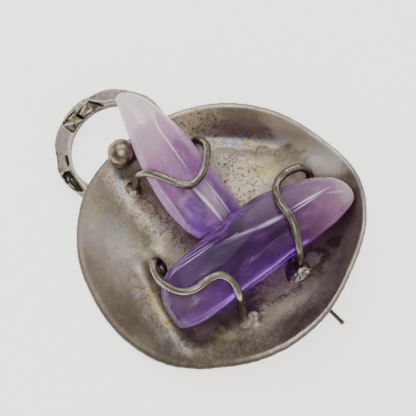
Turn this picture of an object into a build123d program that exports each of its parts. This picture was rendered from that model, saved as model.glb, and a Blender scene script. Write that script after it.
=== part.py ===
from build123d import *
import os
from math import atan2, cos, degrees, exp, floor, hypot, radians, sin, tan

os.makedirs("parts", exist_ok=True)

# A silver brooch lying on its back: a folded, dished plate with a pendant ring soldered behind
# its upper left edge, two polished amethyst points held by three bent wire claws, and a pin
# behind. Millimetres, +X right, +Y to the top edge, +Z up from the table it lies on.

# Plate
plate_radius = 22.0
plate_rise = 11.0
plate_floor = 3.8
plate_sheet = 1.1
plate_centre = (1.8, -1.7)
dish_power = 3.0
fold_fade = 6.0
surface_points = 30
surface_margin = 1.14
surface_fit = 0.01
trim_height = 30.0
trim_clear = 0.06

# Pendant ring; places in the plan are shares of plate_radius from plate_centre
ring_outer = 9.45
ring_band = 2.05
ring_depth = 2.4
ring_place = (-0.757, 0.700)
ring_lean = (-0.244, -0.075, 0.967)
ring_clear = 0.15
ring_flats = 20
ring_bevel = 0.35

# Ball on the plate's edge
ball_radius = 2.25
ball_place = (-0.700, 0.577)
ball_sink = 0.5

# Solder
solder_radius = 1.25
solder_rise = 0.55

# Stones: the lower one lies in the dish, the upper one ends beside it
lower_length = 34.1
lower_width = 11.4
lower_thick = 7.8
lower_place = (-0.414, -0.564)
lower_heading = 32.0
upper_length = 26.6
upper_width = 9.8
upper_thick = 6.6
upper_meets = 0.436
upper_heading = -51.5
stone_gap = 0.1
stone_seat = 0.1
seat_step = 15

# Claws
claw_wire = 1.25
claw_gap = 0.16
claw_sink = 1.0
bend_share = 0.45

# Pin, hinge and catch
pin_wire = 0.65
pin_height = 1.35
pin_gap = 0.12
pin_start = (-0.309, 0.541)
pin_end = (0.723, -0.468)
pin_tip = (0.841, -0.595)
pin_bend = 6.0
eye_wall = 0.5
hinge_rivet = 0.8
hinge_cheek = 0.7
hinge_length = 2.6
catch_back = 3.6
catch_width = 1.8
catch_wall = 0.8
catch_lip = 1.1

# The plate's edge, every 22.5 degrees from +X: reach as a share of plate_radius, height as a
# share of plate_rise.
RIM = [
    (1.000, 1.02), (1.020, 0.87), (0.962, 0.85), (0.922, 0.97),
    (0.920, 0.92), (0.945, 0.75), (0.970, 0.60), (1.026, 0.37),
    (1.018, 0.16), (0.982, 0.12), (0.982, 0.15), (0.992, 0.25),
    (0.968, 0.40), (0.982, 0.60), (0.984, 0.82), (0.966, 0.96),
]

# Folds of the plate, shares of plate_radius from its centre: start x, start y, end x, end y,
# spread, then height as a share of plate_rise.
FOLDS = [
    (-0.86, 0.50, -0.42, -0.02, 0.14, 0.15),
    (-0.60, -0.28, -0.30, -0.84, 0.11, 0.13),
    (-0.70, -0.12, -0.52, -0.40, 0.27, 0.15),
    (-0.10, 0.74, 0.72, 0.62, 0.09, -0.12),
    (0.10, 0.46, 0.78, 0.44, 0.15, 0.09),
    (-0.34, 0.46, -0.22, 0.26, 0.22, 0.08),
]

# Stone sections: share of length, then as shares of half the width the half width and the
# shift to the left, then as shares of half the thickness the half height and the lift.
UPPER_SECTIONS = [
    (0.000, 0.10, 0.00, 0.14, 0.00), (0.040, 0.30, 0.08, 0.34, 0.00),
    (0.125, 0.50, 0.14, 0.58, 0.00), (0.250, 0.69, 0.08, 0.79, 0.00),
    (0.375, 0.86, 0.02, 0.92, 0.00), (0.500, 0.95, -0.05, 1.00, 0.00),
    (0.625, 0.99, -0.12, 1.00, 0.00), (0.750, 1.02, -0.14, 0.97, -0.06),
    (0.880, 0.98, -0.09, 0.82, -0.20), (0.975, 0.84, 0.00, 0.56, -0.38),
]
LOWER_SECTIONS = [
    (0.000, 0.42, -0.38, 0.38, -0.06), (0.050, 0.76, -0.23, 0.66, 0.06),
    (0.130, 0.93, -0.13, 0.86, 0.10), (0.250, 0.95, -0.04, 0.95, 0.00),
    (0.380, 0.96, 0.07, 1.00, 0.00), (0.500, 1.01, 0.16, 1.00, 0.00),
    (0.625, 0.99, 0.24, 0.96, 0.00), (0.750, 0.88, 0.19, 0.86, 0.00),
    (0.875, 0.72, 0.16, 0.66, 0.00), (0.960, 0.48, 0.09, 0.42, 0.00),
    (1.000, 0.20, 0.00, 0.16, 0.00),
]

# Corners of a stone's section, degrees from its left side over the top: a flat table between
# 62 and 104, long flats beside it and a rounder back.
STONE_CORNERS = (4, 34, 62, 104, 146, 178, 222, 270, 318)

# Claw rows: share of the stone's length, degrees round it as above, stand-off as a share of
# the wire. The first and last rows are the feet, straight under that point on the plate.
CLAW_UPPER = [
    (0.464, 180, 0.93), (0.463, 206, 0.85), (0.455, 190, 0.25), (0.462, 170, 0.10),
    (0.510, 140, 0.10), (0.590, 122, 0.10), (0.680, 107, 0.10), (0.728, 92, 0.10),
    (0.705, 70, 0.12), (0.655, 50, 0.12), (0.605, 26, 0.15), (0.552, 8, 0.50),
    (0.490, -12, 0.60), (0.463, -28, 0.85), (0.437, 0, 0.48),
]
CLAW_RIGHT = [
    (0.640, 180, -0.55), (0.628, 186, 0.20), (0.640, 160, 0.10), (0.660, 132, 0.10),
    (0.682, 108, 0.10), (0.674, 82, 0.10), (0.690, 56, 0.12), (0.735, 22, 0.15),
    (0.785, 9, 0.85), (0.832, 8, 1.10), (0.874, 6, 1.05), (0.895, -12, 0.70),
    (0.876, -34, 0.60), (0.849, 0, -0.95),
]
CLAW_LOWER = [
    (0.101, 0, -0.06), (0.104, -22, 0.80), (0.097, -6, 1.45), (0.078, 7, 1.75),
    (0.052, 14, 1.35), (0.040, 32, 0.60), (0.048, 62, 0.15), (0.085, 94, 0.10),
    (0.150, 106, 0.10), (0.225, 104, 0.10), (0.285, 112, 0.10), (0.310, 132, 0.10),
    (0.303, 160, 0.12), (0.300, 186, 0.20), (0.287, 180, 0.84),
]

# Beads of solder at the claws' feet, in solder_radius from a foot: shift along +X and +Y
SOLDER_UPPER = (0.0, 0.0)
SOLDER_RIGHT = (0.35, -1.14)
SOLDER_LOWER = (1.32, -0.26)


def round_rim(column, turn):
    """Value of one RIM column at an angle in degrees, by a smooth curve through its rows."""
    step = 360 / len(RIM)
    first = floor(turn / step)
    t = turn / step - first
    a, b, c, d = [RIM[(first + k) % len(RIM)][column] for k in (-1, 0, 1, 2)]
    return b + 0.5 * t * (c - a + t * (2 * a - 5 * b + 4 * c - d + t * (3 * (b - c) + d - a)))


def plate_share(x, y):
    """Share of the way from the plate's centre to its edge, and the angle in degrees."""
    turn = degrees(atan2(y - plate_centre[1], x - plate_centre[0]))
    reach = plate_radius * round_rim(0, turn)
    return hypot(x - plate_centre[0], y - plate_centre[1]) / reach, turn


def plate_height(x, y):
    """Height of the plate's upper face over a point of the table."""
    share, turn = plate_share(x, y)
    dish = share**dish_power if share < 1 else 1 + dish_power * (share - 1)
    height = plate_floor + (plate_rise * round_rim(1, turn) - plate_floor) * dish
    fade = max(0, 1 - share**fold_fade)
    for x0, y0, x1, y1, spread, rise in FOLDS:
        px = (x - plate_centre[0]) / plate_radius - x0
        py = (y - plate_centre[1]) / plate_radius - y0
        dx, dy = x1 - x0, y1 - y0
        near = min(1, max(0, (px * dx + py * dy) / (dx * dx + dy * dy)))
        away = hypot(px - near * dx, py - near * dy)
        height += fade * plate_rise * rise * exp(-((away / spread) ** 2))
    return height


def in_plan(place, height=0.0):
    """Point at a height, from shares of plate_radius from the plate's centre."""
    x = plate_centre[0] + place[0] * plate_radius
    y = plate_centre[1] + place[1] * plate_radius
    return Vector(x, y, height)


def on_plate(point, above=0.0):
    """Point straight over or under another, above the plate's upper face."""
    return Vector(point.X, point.Y, plate_height(point.X, point.Y) + above)


def rim_point(turn, margin):
    """Plan point of the plate's edge at an angle in degrees, moved outwards by a margin."""
    reach = plate_radius * round_rim(0, turn) + margin
    return (
        plate_centre[0] + reach * cos(radians(turn)),
        plate_centre[1] + reach * sin(radians(turn)),
    )


def plate_face(drop):
    """Smooth face of the plate, lowered by drop and reaching a little past its edge."""
    half = plate_radius * surface_margin
    step = 2 * half / (surface_points - 1)
    rows = []
    for j in range(surface_points):
        y = plate_centre[1] - half + j * step
        xs = [plate_centre[0] - half + i * step for i in range(surface_points)]
        rows.append([Vector(x, y, plate_height(x, y) - drop) for x in xs])
    return Face.make_surface_from_array_of_points(rows, tol=surface_fit, min_deg=3, max_deg=3)


class Stone:
    """A polished point that rests on the plate at two sections: its seats, by their rows."""

    def __init__(self, place, heading, length, width, thick, sections, seats):
        self.ahead = Vector(1, 0, 0).rotate(Axis.Z, heading)
        self.left = Vector(0, 1, 0).rotate(Axis.Z, heading)
        self.length = length
        self.width = width
        self.thick = thick
        self.sections = sections
        plan = Vector(place.X, place.Y, 0)
        rows = [(row[0] * length, self.seat_height(plan, row[0])) for row in sections]
        resting = [row for row in rows[seats[0]:] if row[1] > 0]
        (near, low), (far, high) = resting[0], resting[seats[1]]
        slope = (high - low) / (far - near)
        start_height = max(height - slope * run for run, height in rows)
        self.start = plan + Vector(0, 0, start_height)
        self.along = (self.ahead + Vector(0, 0, slope)).normalized()
        self.up = self.along.cross(self.left)

    def seat_height(self, plan, share):
        """Height of the stone's line that clears the plate at a section, or 0 beyond it."""
        half, shift, tall, lift = self.section(share)
        heights = [0.0]
        for turn in range(180, 361, seat_step):
            side = shift + half * cos(radians(turn))
            point = plan + self.ahead * share * self.length + self.left * side
            if plate_share(point.X, point.Y)[0] < 1:
                under = lift + tall * sin(radians(turn))
                heights.append(on_plate(point, stone_seat - under).Z)
        return max(heights)

    def section(self, share):
        """Half width, shift, half height and lift at a share of the length."""
        rows = self.sections
        share = min(max(share, rows[0][0]), rows[-1][0])
        for low, high in zip(rows, rows[1:]):
            if share <= high[0]:
                t = (share - low[0]) / (high[0] - low[0])
                mix = [a + t * (b - a) for a, b in zip(low, high)]
                break
        half, tall = self.width / 2, self.thick / 2
        return mix[1] * half, mix[2] * half, mix[3] * tall, mix[4] * tall

    def on_section(self, share, turn, stand_off=0.0):
        """Place in a section, at degrees round it from its left: to the left, and up."""
        half, shift, tall, lift = self.section(share)
        side = shift + (half + stand_off) * cos(radians(turn))
        return side, lift + (tall + stand_off) * sin(radians(turn))

    def around(self, share, turn, stand_off):
        """Point at a distance outside the stone."""
        side, rise = self.on_section(share, turn, stand_off)
        return self.start + self.along * share * self.length + self.left * side + self.up * rise


def bend_radii(points):
    """Radius for each corner of a wire's route, as large as its two runs allow."""
    radii = []
    for a, b, c in zip(points, points[1:], points[2:]):
        turn = (b - a).get_angle(c - b)
        radii.append(bend_share * min((b - a).length, (c - b).length) / tan(radians(turn / 2)))
    return radii


def claw_route(stone, rows):
    """Centre line of a claw: up from one foot, round the stone and down to the other."""
    reach = claw_wire / 2 + claw_gap
    route = [stone.around(share, turn, reach + off * claw_wire) for share, turn, off in rows]
    return [on_plate(route[0], -claw_sink)] + route[1:-1] + [on_plate(route[-1], -claw_sink)]


lower = Stone(
    in_plan(lower_place), lower_heading, lower_length, lower_width, lower_thick,
    LOWER_SECTIONS, (2, -3),
)
lower_half, lower_shift = lower.section(upper_meets)[:2]
upper_end = (
    lower.start + lower.ahead * upper_meets * lower_length
    + lower.left * (lower_shift + lower_half + stone_gap)
)
upper_reach = UPPER_SECTIONS[-1][0] * upper_length
upper = Stone(
    upper_end - Vector(1, 0, 0).rotate(Axis.Z, upper_heading) * upper_reach, upper_heading,
    upper_length, upper_width, upper_thick, UPPER_SECTIONS, (3, -2),
)


def build_stone(stone):
    """Flats between corner lines that run through the stone's sections."""
    with BuildPart() as point:
        for row in stone.sections:
            origin = stone.start + stone.along * row[0] * stone.length
            corners = [stone.on_section(row[0], turn) for turn in STONE_CORNERS]
            with BuildSketch(Plane(origin=origin, x_dir=stone.left, z_dir=stone.along)):
                Polygon(*corners, align=None)
        loft(ruled=True)
    return point


def wire_piece(points, diameter, radii=None):
    """Round wire along straight runs joined by arcs."""
    with BuildPart() as wire:
        with BuildLine() as route:
            FilletPolyline(*points, radius=radii or bend_radii(points))
        with BuildSketch(Plane(origin=route.line @ 0, z_dir=route.line % 0)):
            Circle(diameter / 2)
        sweep()
    return wire


def edge_block(margin):
    """Tall block over the plan of the plate's edge, widened by a margin."""
    turns = [k * 360 / len(RIM) for k in range(len(RIM))]
    with BuildPart() as block:
        with BuildSketch():
            with BuildLine():
                Spline(*[rim_point(turn, margin) for turn in turns], periodic=True)
            make_face()
        extrude(amount=trim_height)
    return block.part


def sheet_block(drop, depth, toward, margin):
    """Block between a lowered copy of the plate's face and a level above or below it."""
    with BuildPart() as block:
        add(extrude(plate_face(drop), amount=depth, dir=(0, 0, toward), mode=Mode.PRIVATE))
        add(edge_block(margin), mode=Mode.INTERSECT)
    return block.part


# The plate, and the room over and under the middle of its sheet, which trims what is soldered
# to its other face
plate = sheet_block(0, plate_sheet, -1, 0)
room_above = sheet_block(plate_sheet / 2, trim_height, 1, trim_clear)
room_below = sheet_block(plate_sheet / 2, trim_height, -1, trim_clear)

# Pendant ring: a hammered band of flats, filed away where it meets the sheet
ring_droop = hypot(ring_lean[0], ring_lean[1]) * ring_outer + ring_lean[2] * ring_depth / 2
ring_centre = in_plan(ring_place, ring_droop + ring_clear)
ring_plane = Plane(origin=ring_centre, x_dir=(ring_lean[2], 0, -ring_lean[0]), z_dir=ring_lean)
with BuildPart() as ring:
    with BuildSketch(ring_plane):
        RegularPolygon(ring_outer, ring_flats)
    extrude(amount=ring_depth / 2, both=True)
    chamfer(ring.edges(), ring_bevel)
    with BuildSketch(ring_plane.offset(-ring_depth)):
        RegularPolygon(ring_outer - ring_band, ring_flats)
    extrude(amount=2 * ring_depth, mode=Mode.SUBTRACT)
    add(room_above, mode=Mode.SUBTRACT)

claws = [
    (claw_route(upper, CLAW_UPPER), 0, SOLDER_UPPER),
    (claw_route(lower, CLAW_RIGHT), 0, SOLDER_RIGHT),
    (claw_route(lower, CLAW_LOWER), -1, SOLDER_LOWER),
]

# Ball, and beads of solder at the claws' feet
with BuildPart() as beads:
    with Locations(on_plate(in_plan(ball_place), ball_radius - ball_sink)):
        Sphere(ball_radius)
    for route, foot, shift in claws:
        place = route[foot] + Vector(*shift) * solder_radius
        with Locations(on_plate(place, solder_rise - solder_radius)):
            Sphere(solder_radius)
    add(room_below, mode=Mode.SUBTRACT)

# Hinge and catch behind the plate, on the pin's line
eye_centre = in_plan(pin_start, pin_height)
stem_end = in_plan(pin_end, pin_height)
pin_along = (stem_end - eye_centre).normalized()
pin_side = Vector(-pin_along.Y, pin_along.X, 0)
eye_outer = hinge_rivet / 2 + pin_gap + eye_wall
cheek_gap = pin_wire + 2 * pin_gap
catch_place = in_plan(pin_end) - pin_along * catch_back
slot = pin_wire / 2 + pin_gap

with BuildPart() as fittings:
    with BuildSketch(Plane(origin=in_plan(pin_start), x_dir=pin_along, z_dir=(0, 0, 1))):
        for side in (-1, 1):
            with Locations((0, side * (cheek_gap + hinge_cheek) / 2)):
                Rectangle(hinge_length, hinge_cheek)
    extrude(amount=plate_rise)
    hinge_line = Plane(origin=eye_centre, x_dir=pin_along, z_dir=pin_side)
    with BuildSketch(hinge_line):
        Circle(hinge_rivet / 2)
    extrude(amount=cheek_gap / 2 + hinge_cheek, both=True)
    with BuildSketch(Plane(origin=catch_place, x_dir=pin_side, z_dir=pin_along)):
        with BuildLine():
            Polyline(
                (slot + catch_wall, 0), (slot + catch_wall, plate_rise), (slot, plate_rise),
                (slot, pin_height - slot), (-slot, pin_height - slot), (-slot, catch_lip),
                (-slot - catch_wall / 2, catch_lip), (-slot - catch_wall, 0), close=True,
            )
        make_face()
    extrude(amount=catch_width / 2, both=True)
    add(room_above, mode=Mode.SUBTRACT)

with BuildPart() as setting:
    add(plate)
    add(ring.part)
    add(beads.part)
    for route, foot, shift in claws:
        add(wire_piece(route, claw_wire).part - room_below)
    add(fittings.part)

with BuildPart() as pin:
    stem_start = eye_centre + pin_along * (eye_outer - eye_wall / 2)
    stem = [stem_start, stem_end, in_plan(pin_tip, pin_height)]
    add(wire_piece(stem, pin_wire, pin_bend).part)
    with BuildSketch(hinge_line):
        Circle(eye_outer)
        Circle(eye_outer - eye_wall, mode=Mode.SUBTRACT)
    extrude(amount=pin_wire / 2, both=True)

stone_upper = build_stone(upper)
stone_lower = build_stone(lower)

setting.part.label = "setting"
pin.part.label = "pin"
stone_upper.part.label = "stone_upper"
stone_lower.part.label = "stone_lower"
export_step(setting.part, "parts/setting.step")
export_step(pin.part, "parts/pin.step")
export_step(stone_upper.part, "parts/stone_upper.step")
export_step(stone_lower.part, "parts/stone_lower.step")
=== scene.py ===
import logging
import math
from collections.abc import Callable, Iterator, Sequence
from contextlib import contextmanager
from dataclasses import dataclass
from enum import Enum
from functools import partial

import bmesh
import bpy
import numpy as np
from bpy.types import Material, NodeSocket, Object
from mathutils import Matrix, Vector, noise


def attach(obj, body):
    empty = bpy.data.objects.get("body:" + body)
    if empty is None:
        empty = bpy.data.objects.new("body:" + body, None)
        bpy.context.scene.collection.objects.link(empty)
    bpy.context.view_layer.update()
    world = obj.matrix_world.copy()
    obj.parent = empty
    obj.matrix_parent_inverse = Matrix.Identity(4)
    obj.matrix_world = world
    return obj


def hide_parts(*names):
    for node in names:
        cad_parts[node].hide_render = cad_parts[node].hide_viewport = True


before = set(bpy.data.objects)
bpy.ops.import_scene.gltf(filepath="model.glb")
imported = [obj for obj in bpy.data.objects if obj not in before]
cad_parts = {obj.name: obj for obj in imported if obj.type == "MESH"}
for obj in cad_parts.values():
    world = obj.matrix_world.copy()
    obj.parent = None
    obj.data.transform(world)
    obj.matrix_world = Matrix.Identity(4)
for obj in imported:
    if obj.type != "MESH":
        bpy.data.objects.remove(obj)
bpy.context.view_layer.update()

# Amethyst brooch lying on its back. Every size is in millimetres in the frame of the packed
# model and becomes metres when a mesh is placed: +X right, +Y to the top edge, +Z up.

MM = 0.001
log = logging.getLogger("brooch")

# The plate's edge, every 22.5 degrees from +X: reach as a share of its radius, height as a
# share of its rise
RIM = np.array([
    (1.0, 1.02), (1.02, 0.87), (0.962, 0.85), (0.922, 0.97), (0.92, 0.92), (0.945, 0.75),
    (0.97, 0.6), (1.026, 0.37), (1.018, 0.16), (0.982, 0.12), (0.982, 0.15), (0.992, 0.25),
    (0.968, 0.4), (0.982, 0.6), (0.984, 0.82), (0.966, 0.96),
])

# Folds of the plate, shares of its radius from its centre: start x, start y, end x, end y,
# spread, then height as a share of its rise
FOLDS = (
    (-0.86, 0.5, -0.42, -0.02, 0.14, 0.15), (-0.6, -0.28, -0.3, -0.84, 0.11, 0.13),
    (-0.7, -0.12, -0.52, -0.4, 0.27, 0.15), (-0.1, 0.74, 0.72, 0.62, 0.09, -0.12),
    (0.1, 0.46, 0.78, 0.44, 0.15, 0.09), (-0.34, 0.46, -0.22, 0.26, 0.22, 0.08),
)
# Sharper creases that the hand left beside the folds, same columns
CREASES = (
    (-0.2, 0.76, 0.68, 0.68, 0.07, -0.055), (0.62, -0.26, 0.86, 0.04, 0.06, -0.014),
    (-0.92, 0.14, -0.5, -0.34, 0.12, -0.01),
)

# Stone sections: share of length, then as shares of half the width the half width and the
# shift to the left, then as shares of half the thickness the half height and the lift
UPPER_SECTIONS = (
    (0.0, 0.1, 0.0, 0.14, 0.0), (0.04, 0.3, 0.08, 0.34, 0.0), (0.125, 0.5, 0.14, 0.58, 0.0),
    (0.25, 0.69, 0.08, 0.79, 0.0), (0.375, 0.86, 0.02, 0.92, 0.0), (0.5, 0.95, -0.05, 1.0, 0.0),
    (0.625, 0.99, -0.12, 1.0, 0.0), (0.75, 1.02, -0.14, 0.97, -0.06),
    (0.88, 0.98, -0.09, 0.82, -0.2), (0.975, 0.84, 0.0, 0.56, -0.38),
)
LOWER_SECTIONS = (
    (0.0, 0.42, -0.38, 0.38, -0.06), (0.05, 0.76, -0.23, 0.66, 0.06),
    (0.13, 0.93, -0.13, 0.86, 0.1), (0.25, 0.95, -0.04, 0.95, 0.0), (0.38, 0.96, 0.07, 1.0, 0.0),
    (0.5, 1.01, 0.16, 1.0, 0.0), (0.625, 0.99, 0.24, 0.96, 0.0), (0.75, 0.88, 0.19, 0.86, 0.0),
    (0.875, 0.72, 0.16, 0.66, 0.0), (0.96, 0.48, 0.09, 0.42, 0.0), (1.0, 0.2, 0.0, 0.16, 0.0),
)

# Ridges of the stones: share of the length, then the degrees round the section of the six corner
# lines over the top. The left edge and four lines below don't move.
UPPER_RIDGES, LOWER_RIDGES = (
    tuple((share, 4, *over, 205, 240, 290, 335) for share, *over in rows)
    for rows in (
        ((0.0, 20, 44, 68, 120, 148, 178), (0.2, 18, 42, 74, 118, 147, 178),
         (0.35, 20, 46, 79, 116, 146, 178), (0.5, 24, 52, 83, 112, 145, 178),
         (0.65, 36, 61, 85, 104, 142, 178), (0.75, 46, 67, 85, 101, 140, 176),
         (0.98, 52, 71, 84, 99, 138, 174)),
        ((0.0, 16, 30, 44, 84, 132, 172), (0.1, 16, 34, 50, 88, 128, 172),
         (0.22, 16, 38, 59, 96, 124, 170), (0.32, 17, 42, 63, 104, 120, 166),
         (0.42, 18, 44, 76, 98, 118, 164), (0.52, 20, 44, 87, 100, 120, 162),
         (0.62, 20, 44, 95, 104, 128, 162), (0.75, 20, 46, 94, 103, 140, 170),
         (0.9, 22, 48, 92, 106, 144, 176), (1.0, 24, 50, 90, 110, 146, 178)),
    )
)

# Claw rows: share of the stone's length, degrees round it, stand-off as a share of the wire.
# The first and last rows are the feet, straight under that point on the plate.
CLAW_UPPER = (
    (0.464, 180, 0.93), (0.463, 206, 0.85), (0.455, 190, 0.25), (0.462, 170, 0.1),
    (0.51, 140, 0.1), (0.59, 122, 0.1), (0.68, 107, 0.1), (0.728, 92, 0.1), (0.705, 70, 0.12),
    (0.655, 50, 0.12), (0.605, 26, 0.15), (0.552, 8, 0.5), (0.49, -12, 0.6),
    (0.463, -28, 0.85), (0.437, 0, 0.48),
)
CLAW_RIGHT = (
    (0.64, 180, -0.55), (0.628, 186, 0.2), (0.64, 160, 0.1), (0.66, 132, 0.1),
    (0.682, 108, 0.1), (0.674, 82, 0.1), (0.69, 56, 0.12), (0.735, 22, 0.15), (0.785, 9, 0.85),
    (0.832, 8, 1.1), (0.874, 6, 1.05), (0.895, -12, 0.7), (0.876, -34, 0.6), (0.849, 0, -0.95),
)
CLAW_LOWER = (
    (0.101, 0, -0.06), (0.104, -22, 0.8), (0.097, -6, 1.45), (0.078, 7, 1.75),
    (0.052, 14, 1.35), (0.04, 32, 0.6), (0.048, 62, 0.15), (0.085, 94, 0.1), (0.15, 106, 0.1),
    (0.225, 104, 0.1), (0.285, 112, 0.1), (0.31, 132, 0.1), (0.303, 160, 0.12),
    (0.3, 186, 0.2), (0.287, 180, 0.84),
)


# Tools for shaping, as by hand


def activate(piece: Object | None = None) -> None:
    """Leaves edit mode and selects nothing but one piece, or nothing at all."""
    if bpy.context.object and bpy.context.object.mode != "OBJECT":
        bpy.ops.object.mode_set(mode="OBJECT")
    bpy.ops.object.select_all(action="DESELECT")
    if piece:
        piece.select_set(True)
        bpy.context.view_layer.objects.active = piece


@contextmanager
def editing(piece: Object, kind: str = "FACE", whole: bool = False) -> Iterator[bmesh.types.BMesh]:
    """Opens a piece in edit mode, and leaves it again.

    Args:
        piece: The object to edit.
        kind: What is selected: VERT, EDGE or FACE.
        whole: Selects all of it, where otherwise nothing is selected.
    """
    activate(piece)
    bpy.ops.object.mode_set(mode="EDIT")
    bpy.ops.mesh.select_mode(type=kind)
    bpy.ops.mesh.select_all(action="SELECT" if whole else "DESELECT")
    yield bmesh.from_edit_mesh(piece.data)
    activate()


def pick(mesh: bmesh.types.BMesh, items: Sequence, test: Callable[..., bool]) -> None:
    """Selects the faces or edges that pass a test, and nothing else.

    Args:
        mesh: The mesh that is open in edit mode.
        items: Its faces or edges.
        test: Says whether an item is wanted.
    """
    bpy.ops.mesh.select_all(action="DESELECT")
    for item in [item for item in items if test(item)]:
        item.select_set(True)
    mesh.select_flush_mode()


def close_up(piece: Object, doubles: float = 0.0) -> None:
    """Merges points closer than doubles, if that is above 0, and turns the faces outwards."""
    with editing(piece, "VERT", whole=True):
        if doubles:
            bpy.ops.mesh.remove_doubles(threshold=doubles)
        bpy.ops.mesh.normals_make_consistent(inside=False)


def added(name: str) -> Object:
    """Names what an operator has just made and moves its place into its mesh."""
    piece = bpy.context.object
    piece.name = piece.data.name = name
    bpy.ops.object.transform_apply(location=True, rotation=True, scale=True)
    return piece


def bevelled(piece: Object, width: float, segments: int) -> None:
    """Rounds a piece's sharp edges with a Bevel that is applied."""
    activate(piece)
    modifier = piece.modifiers.new("bevel", "BEVEL")
    modifier.width, modifier.segments, modifier.limit_method = width, segments, "ANGLE"
    bpy.ops.object.modifier_apply(modifier=modifier.name)


def vertices(piece: Object, what: str = "co") -> np.ndarray:
    """Reads a mesh's vertices, or their normals, as rows of x, y, z."""
    flat = np.empty(len(piece.data.vertices) * 3, dtype=np.float32)
    piece.data.vertices.foreach_get(what, flat)
    return flat.reshape(-1, 3).astype(float)


def set_vertices(piece: Object, points: np.ndarray) -> None:
    """Writes a mesh's vertices back."""
    piece.data.vertices.foreach_set("co", points.astype(np.float32).ravel())
    piece.data.update()


def swell(piece: Object, points: np.ndarray, push: np.ndarray) -> np.ndarray:
    """Points moved along their normals, each by its own push."""
    return points + vertices(piece, "normal") * push[:, None]


def set_attributes(piece: Object, **values: np.ndarray) -> None:
    """Stores one number for each vertex under each name, for the material to read."""
    for name, numbers in values.items():
        layer = piece.data.attributes.new(name, "FLOAT", "POINT")
        layer.data.foreach_set("value", np.asarray(numbers, dtype=np.float32))


def ripple(points: np.ndarray, grain: float, seed: float, octaves: int = 1) -> np.ndarray:
    """Smooth noise from -1 to 1 at each point.

    Args:
        points: Rows of x, y, z in millimetres.
        grain: Size of its bumps in millimetres.
        seed: Shifts the pattern.
        octaves: How many finer layers it has.

    Returns:
        One number for each point.
    """
    shift = Vector((seed * 7.1, seed * 3.3, seed * 5.7))
    return np.array([
        noise.fractal(Vector(p) / grain + shift, 1.0, 2.0, octaves, noise_basis="PERLIN_ORIGINAL")
        for p in points
    ])


def smooth_step(low: float, high: float, value: np.ndarray) -> np.ndarray:
    """Eased rise from 0 at low to 1 at high."""
    t = np.clip((value - low) / (high - low), 0.0, 1.0)
    return t * t * (3.0 - 2.0 * t)


def bell(value: np.ndarray, middle: float, spread: float) -> np.ndarray:
    """Bell curve of height 1 round a middle."""
    return np.exp(-(((value - middle) / spread) ** 2))


def off_line(x: np.ndarray, y: np.ndarray, start: Sequence, end: Sequence) -> np.ndarray:
    """Distances in the plan from the line between two places."""
    px, py = x - start[0], y - start[1]
    dx, dy = end[0] - start[0], end[1] - start[1]
    near = np.clip((px * dx + py * dy) / (dx * dx + dy * dy), 0.0, 1.0)
    return np.hypot(px - near * dx, py - near * dy)


def press_flat(points: np.ndarray, place: Vector, facing: Vector) -> np.ndarray:
    """Flattens what stands beyond a plane, as one hammer blow does.

    Args:
        points: Rows of x, y, z.
        place: A point of the plane.
        facing: The plane's outward direction.

    Returns:
        The points with what stood beyond moved onto the plane.
    """
    out = np.array(facing.normalized())
    beyond = (points - np.array(place)) @ out
    return points - np.outer(np.maximum(beyond, 0.0), out)


class Body(Enum):
    """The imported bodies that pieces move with."""

    ROOT = "root"


def finish_piece(
    piece: Object, material: Material, angle: float = 40.0,
    nodes: Sequence[str] = ("setting",),
) -> Object:
    """Brings a finished mesh into the frame, dresses it, hangs it on the root body and hides its
    CAD nodes.

    Args:
        piece: The finished mesh, still in millimetres.
        material: Its finish.
        angle: Edges sharper than this many degrees stay crisp.
        nodes: The CAD nodes that it stands for.

    Returns:
        The same object.
    """
    piece.data.transform(Matrix.Scale(MM, 4))
    activate(piece)
    bpy.ops.object.shade_smooth_by_angle(angle=math.radians(angle))
    piece.data.materials.clear()
    piece.data.materials.append(material)
    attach(piece, Body.ROOT.value)
    if nodes:
        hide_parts(*nodes)
    activate()
    log.info("%s: %d faces", piece.name, len(piece.data.polygons))
    return piece


# The forms that pieces share


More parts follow.
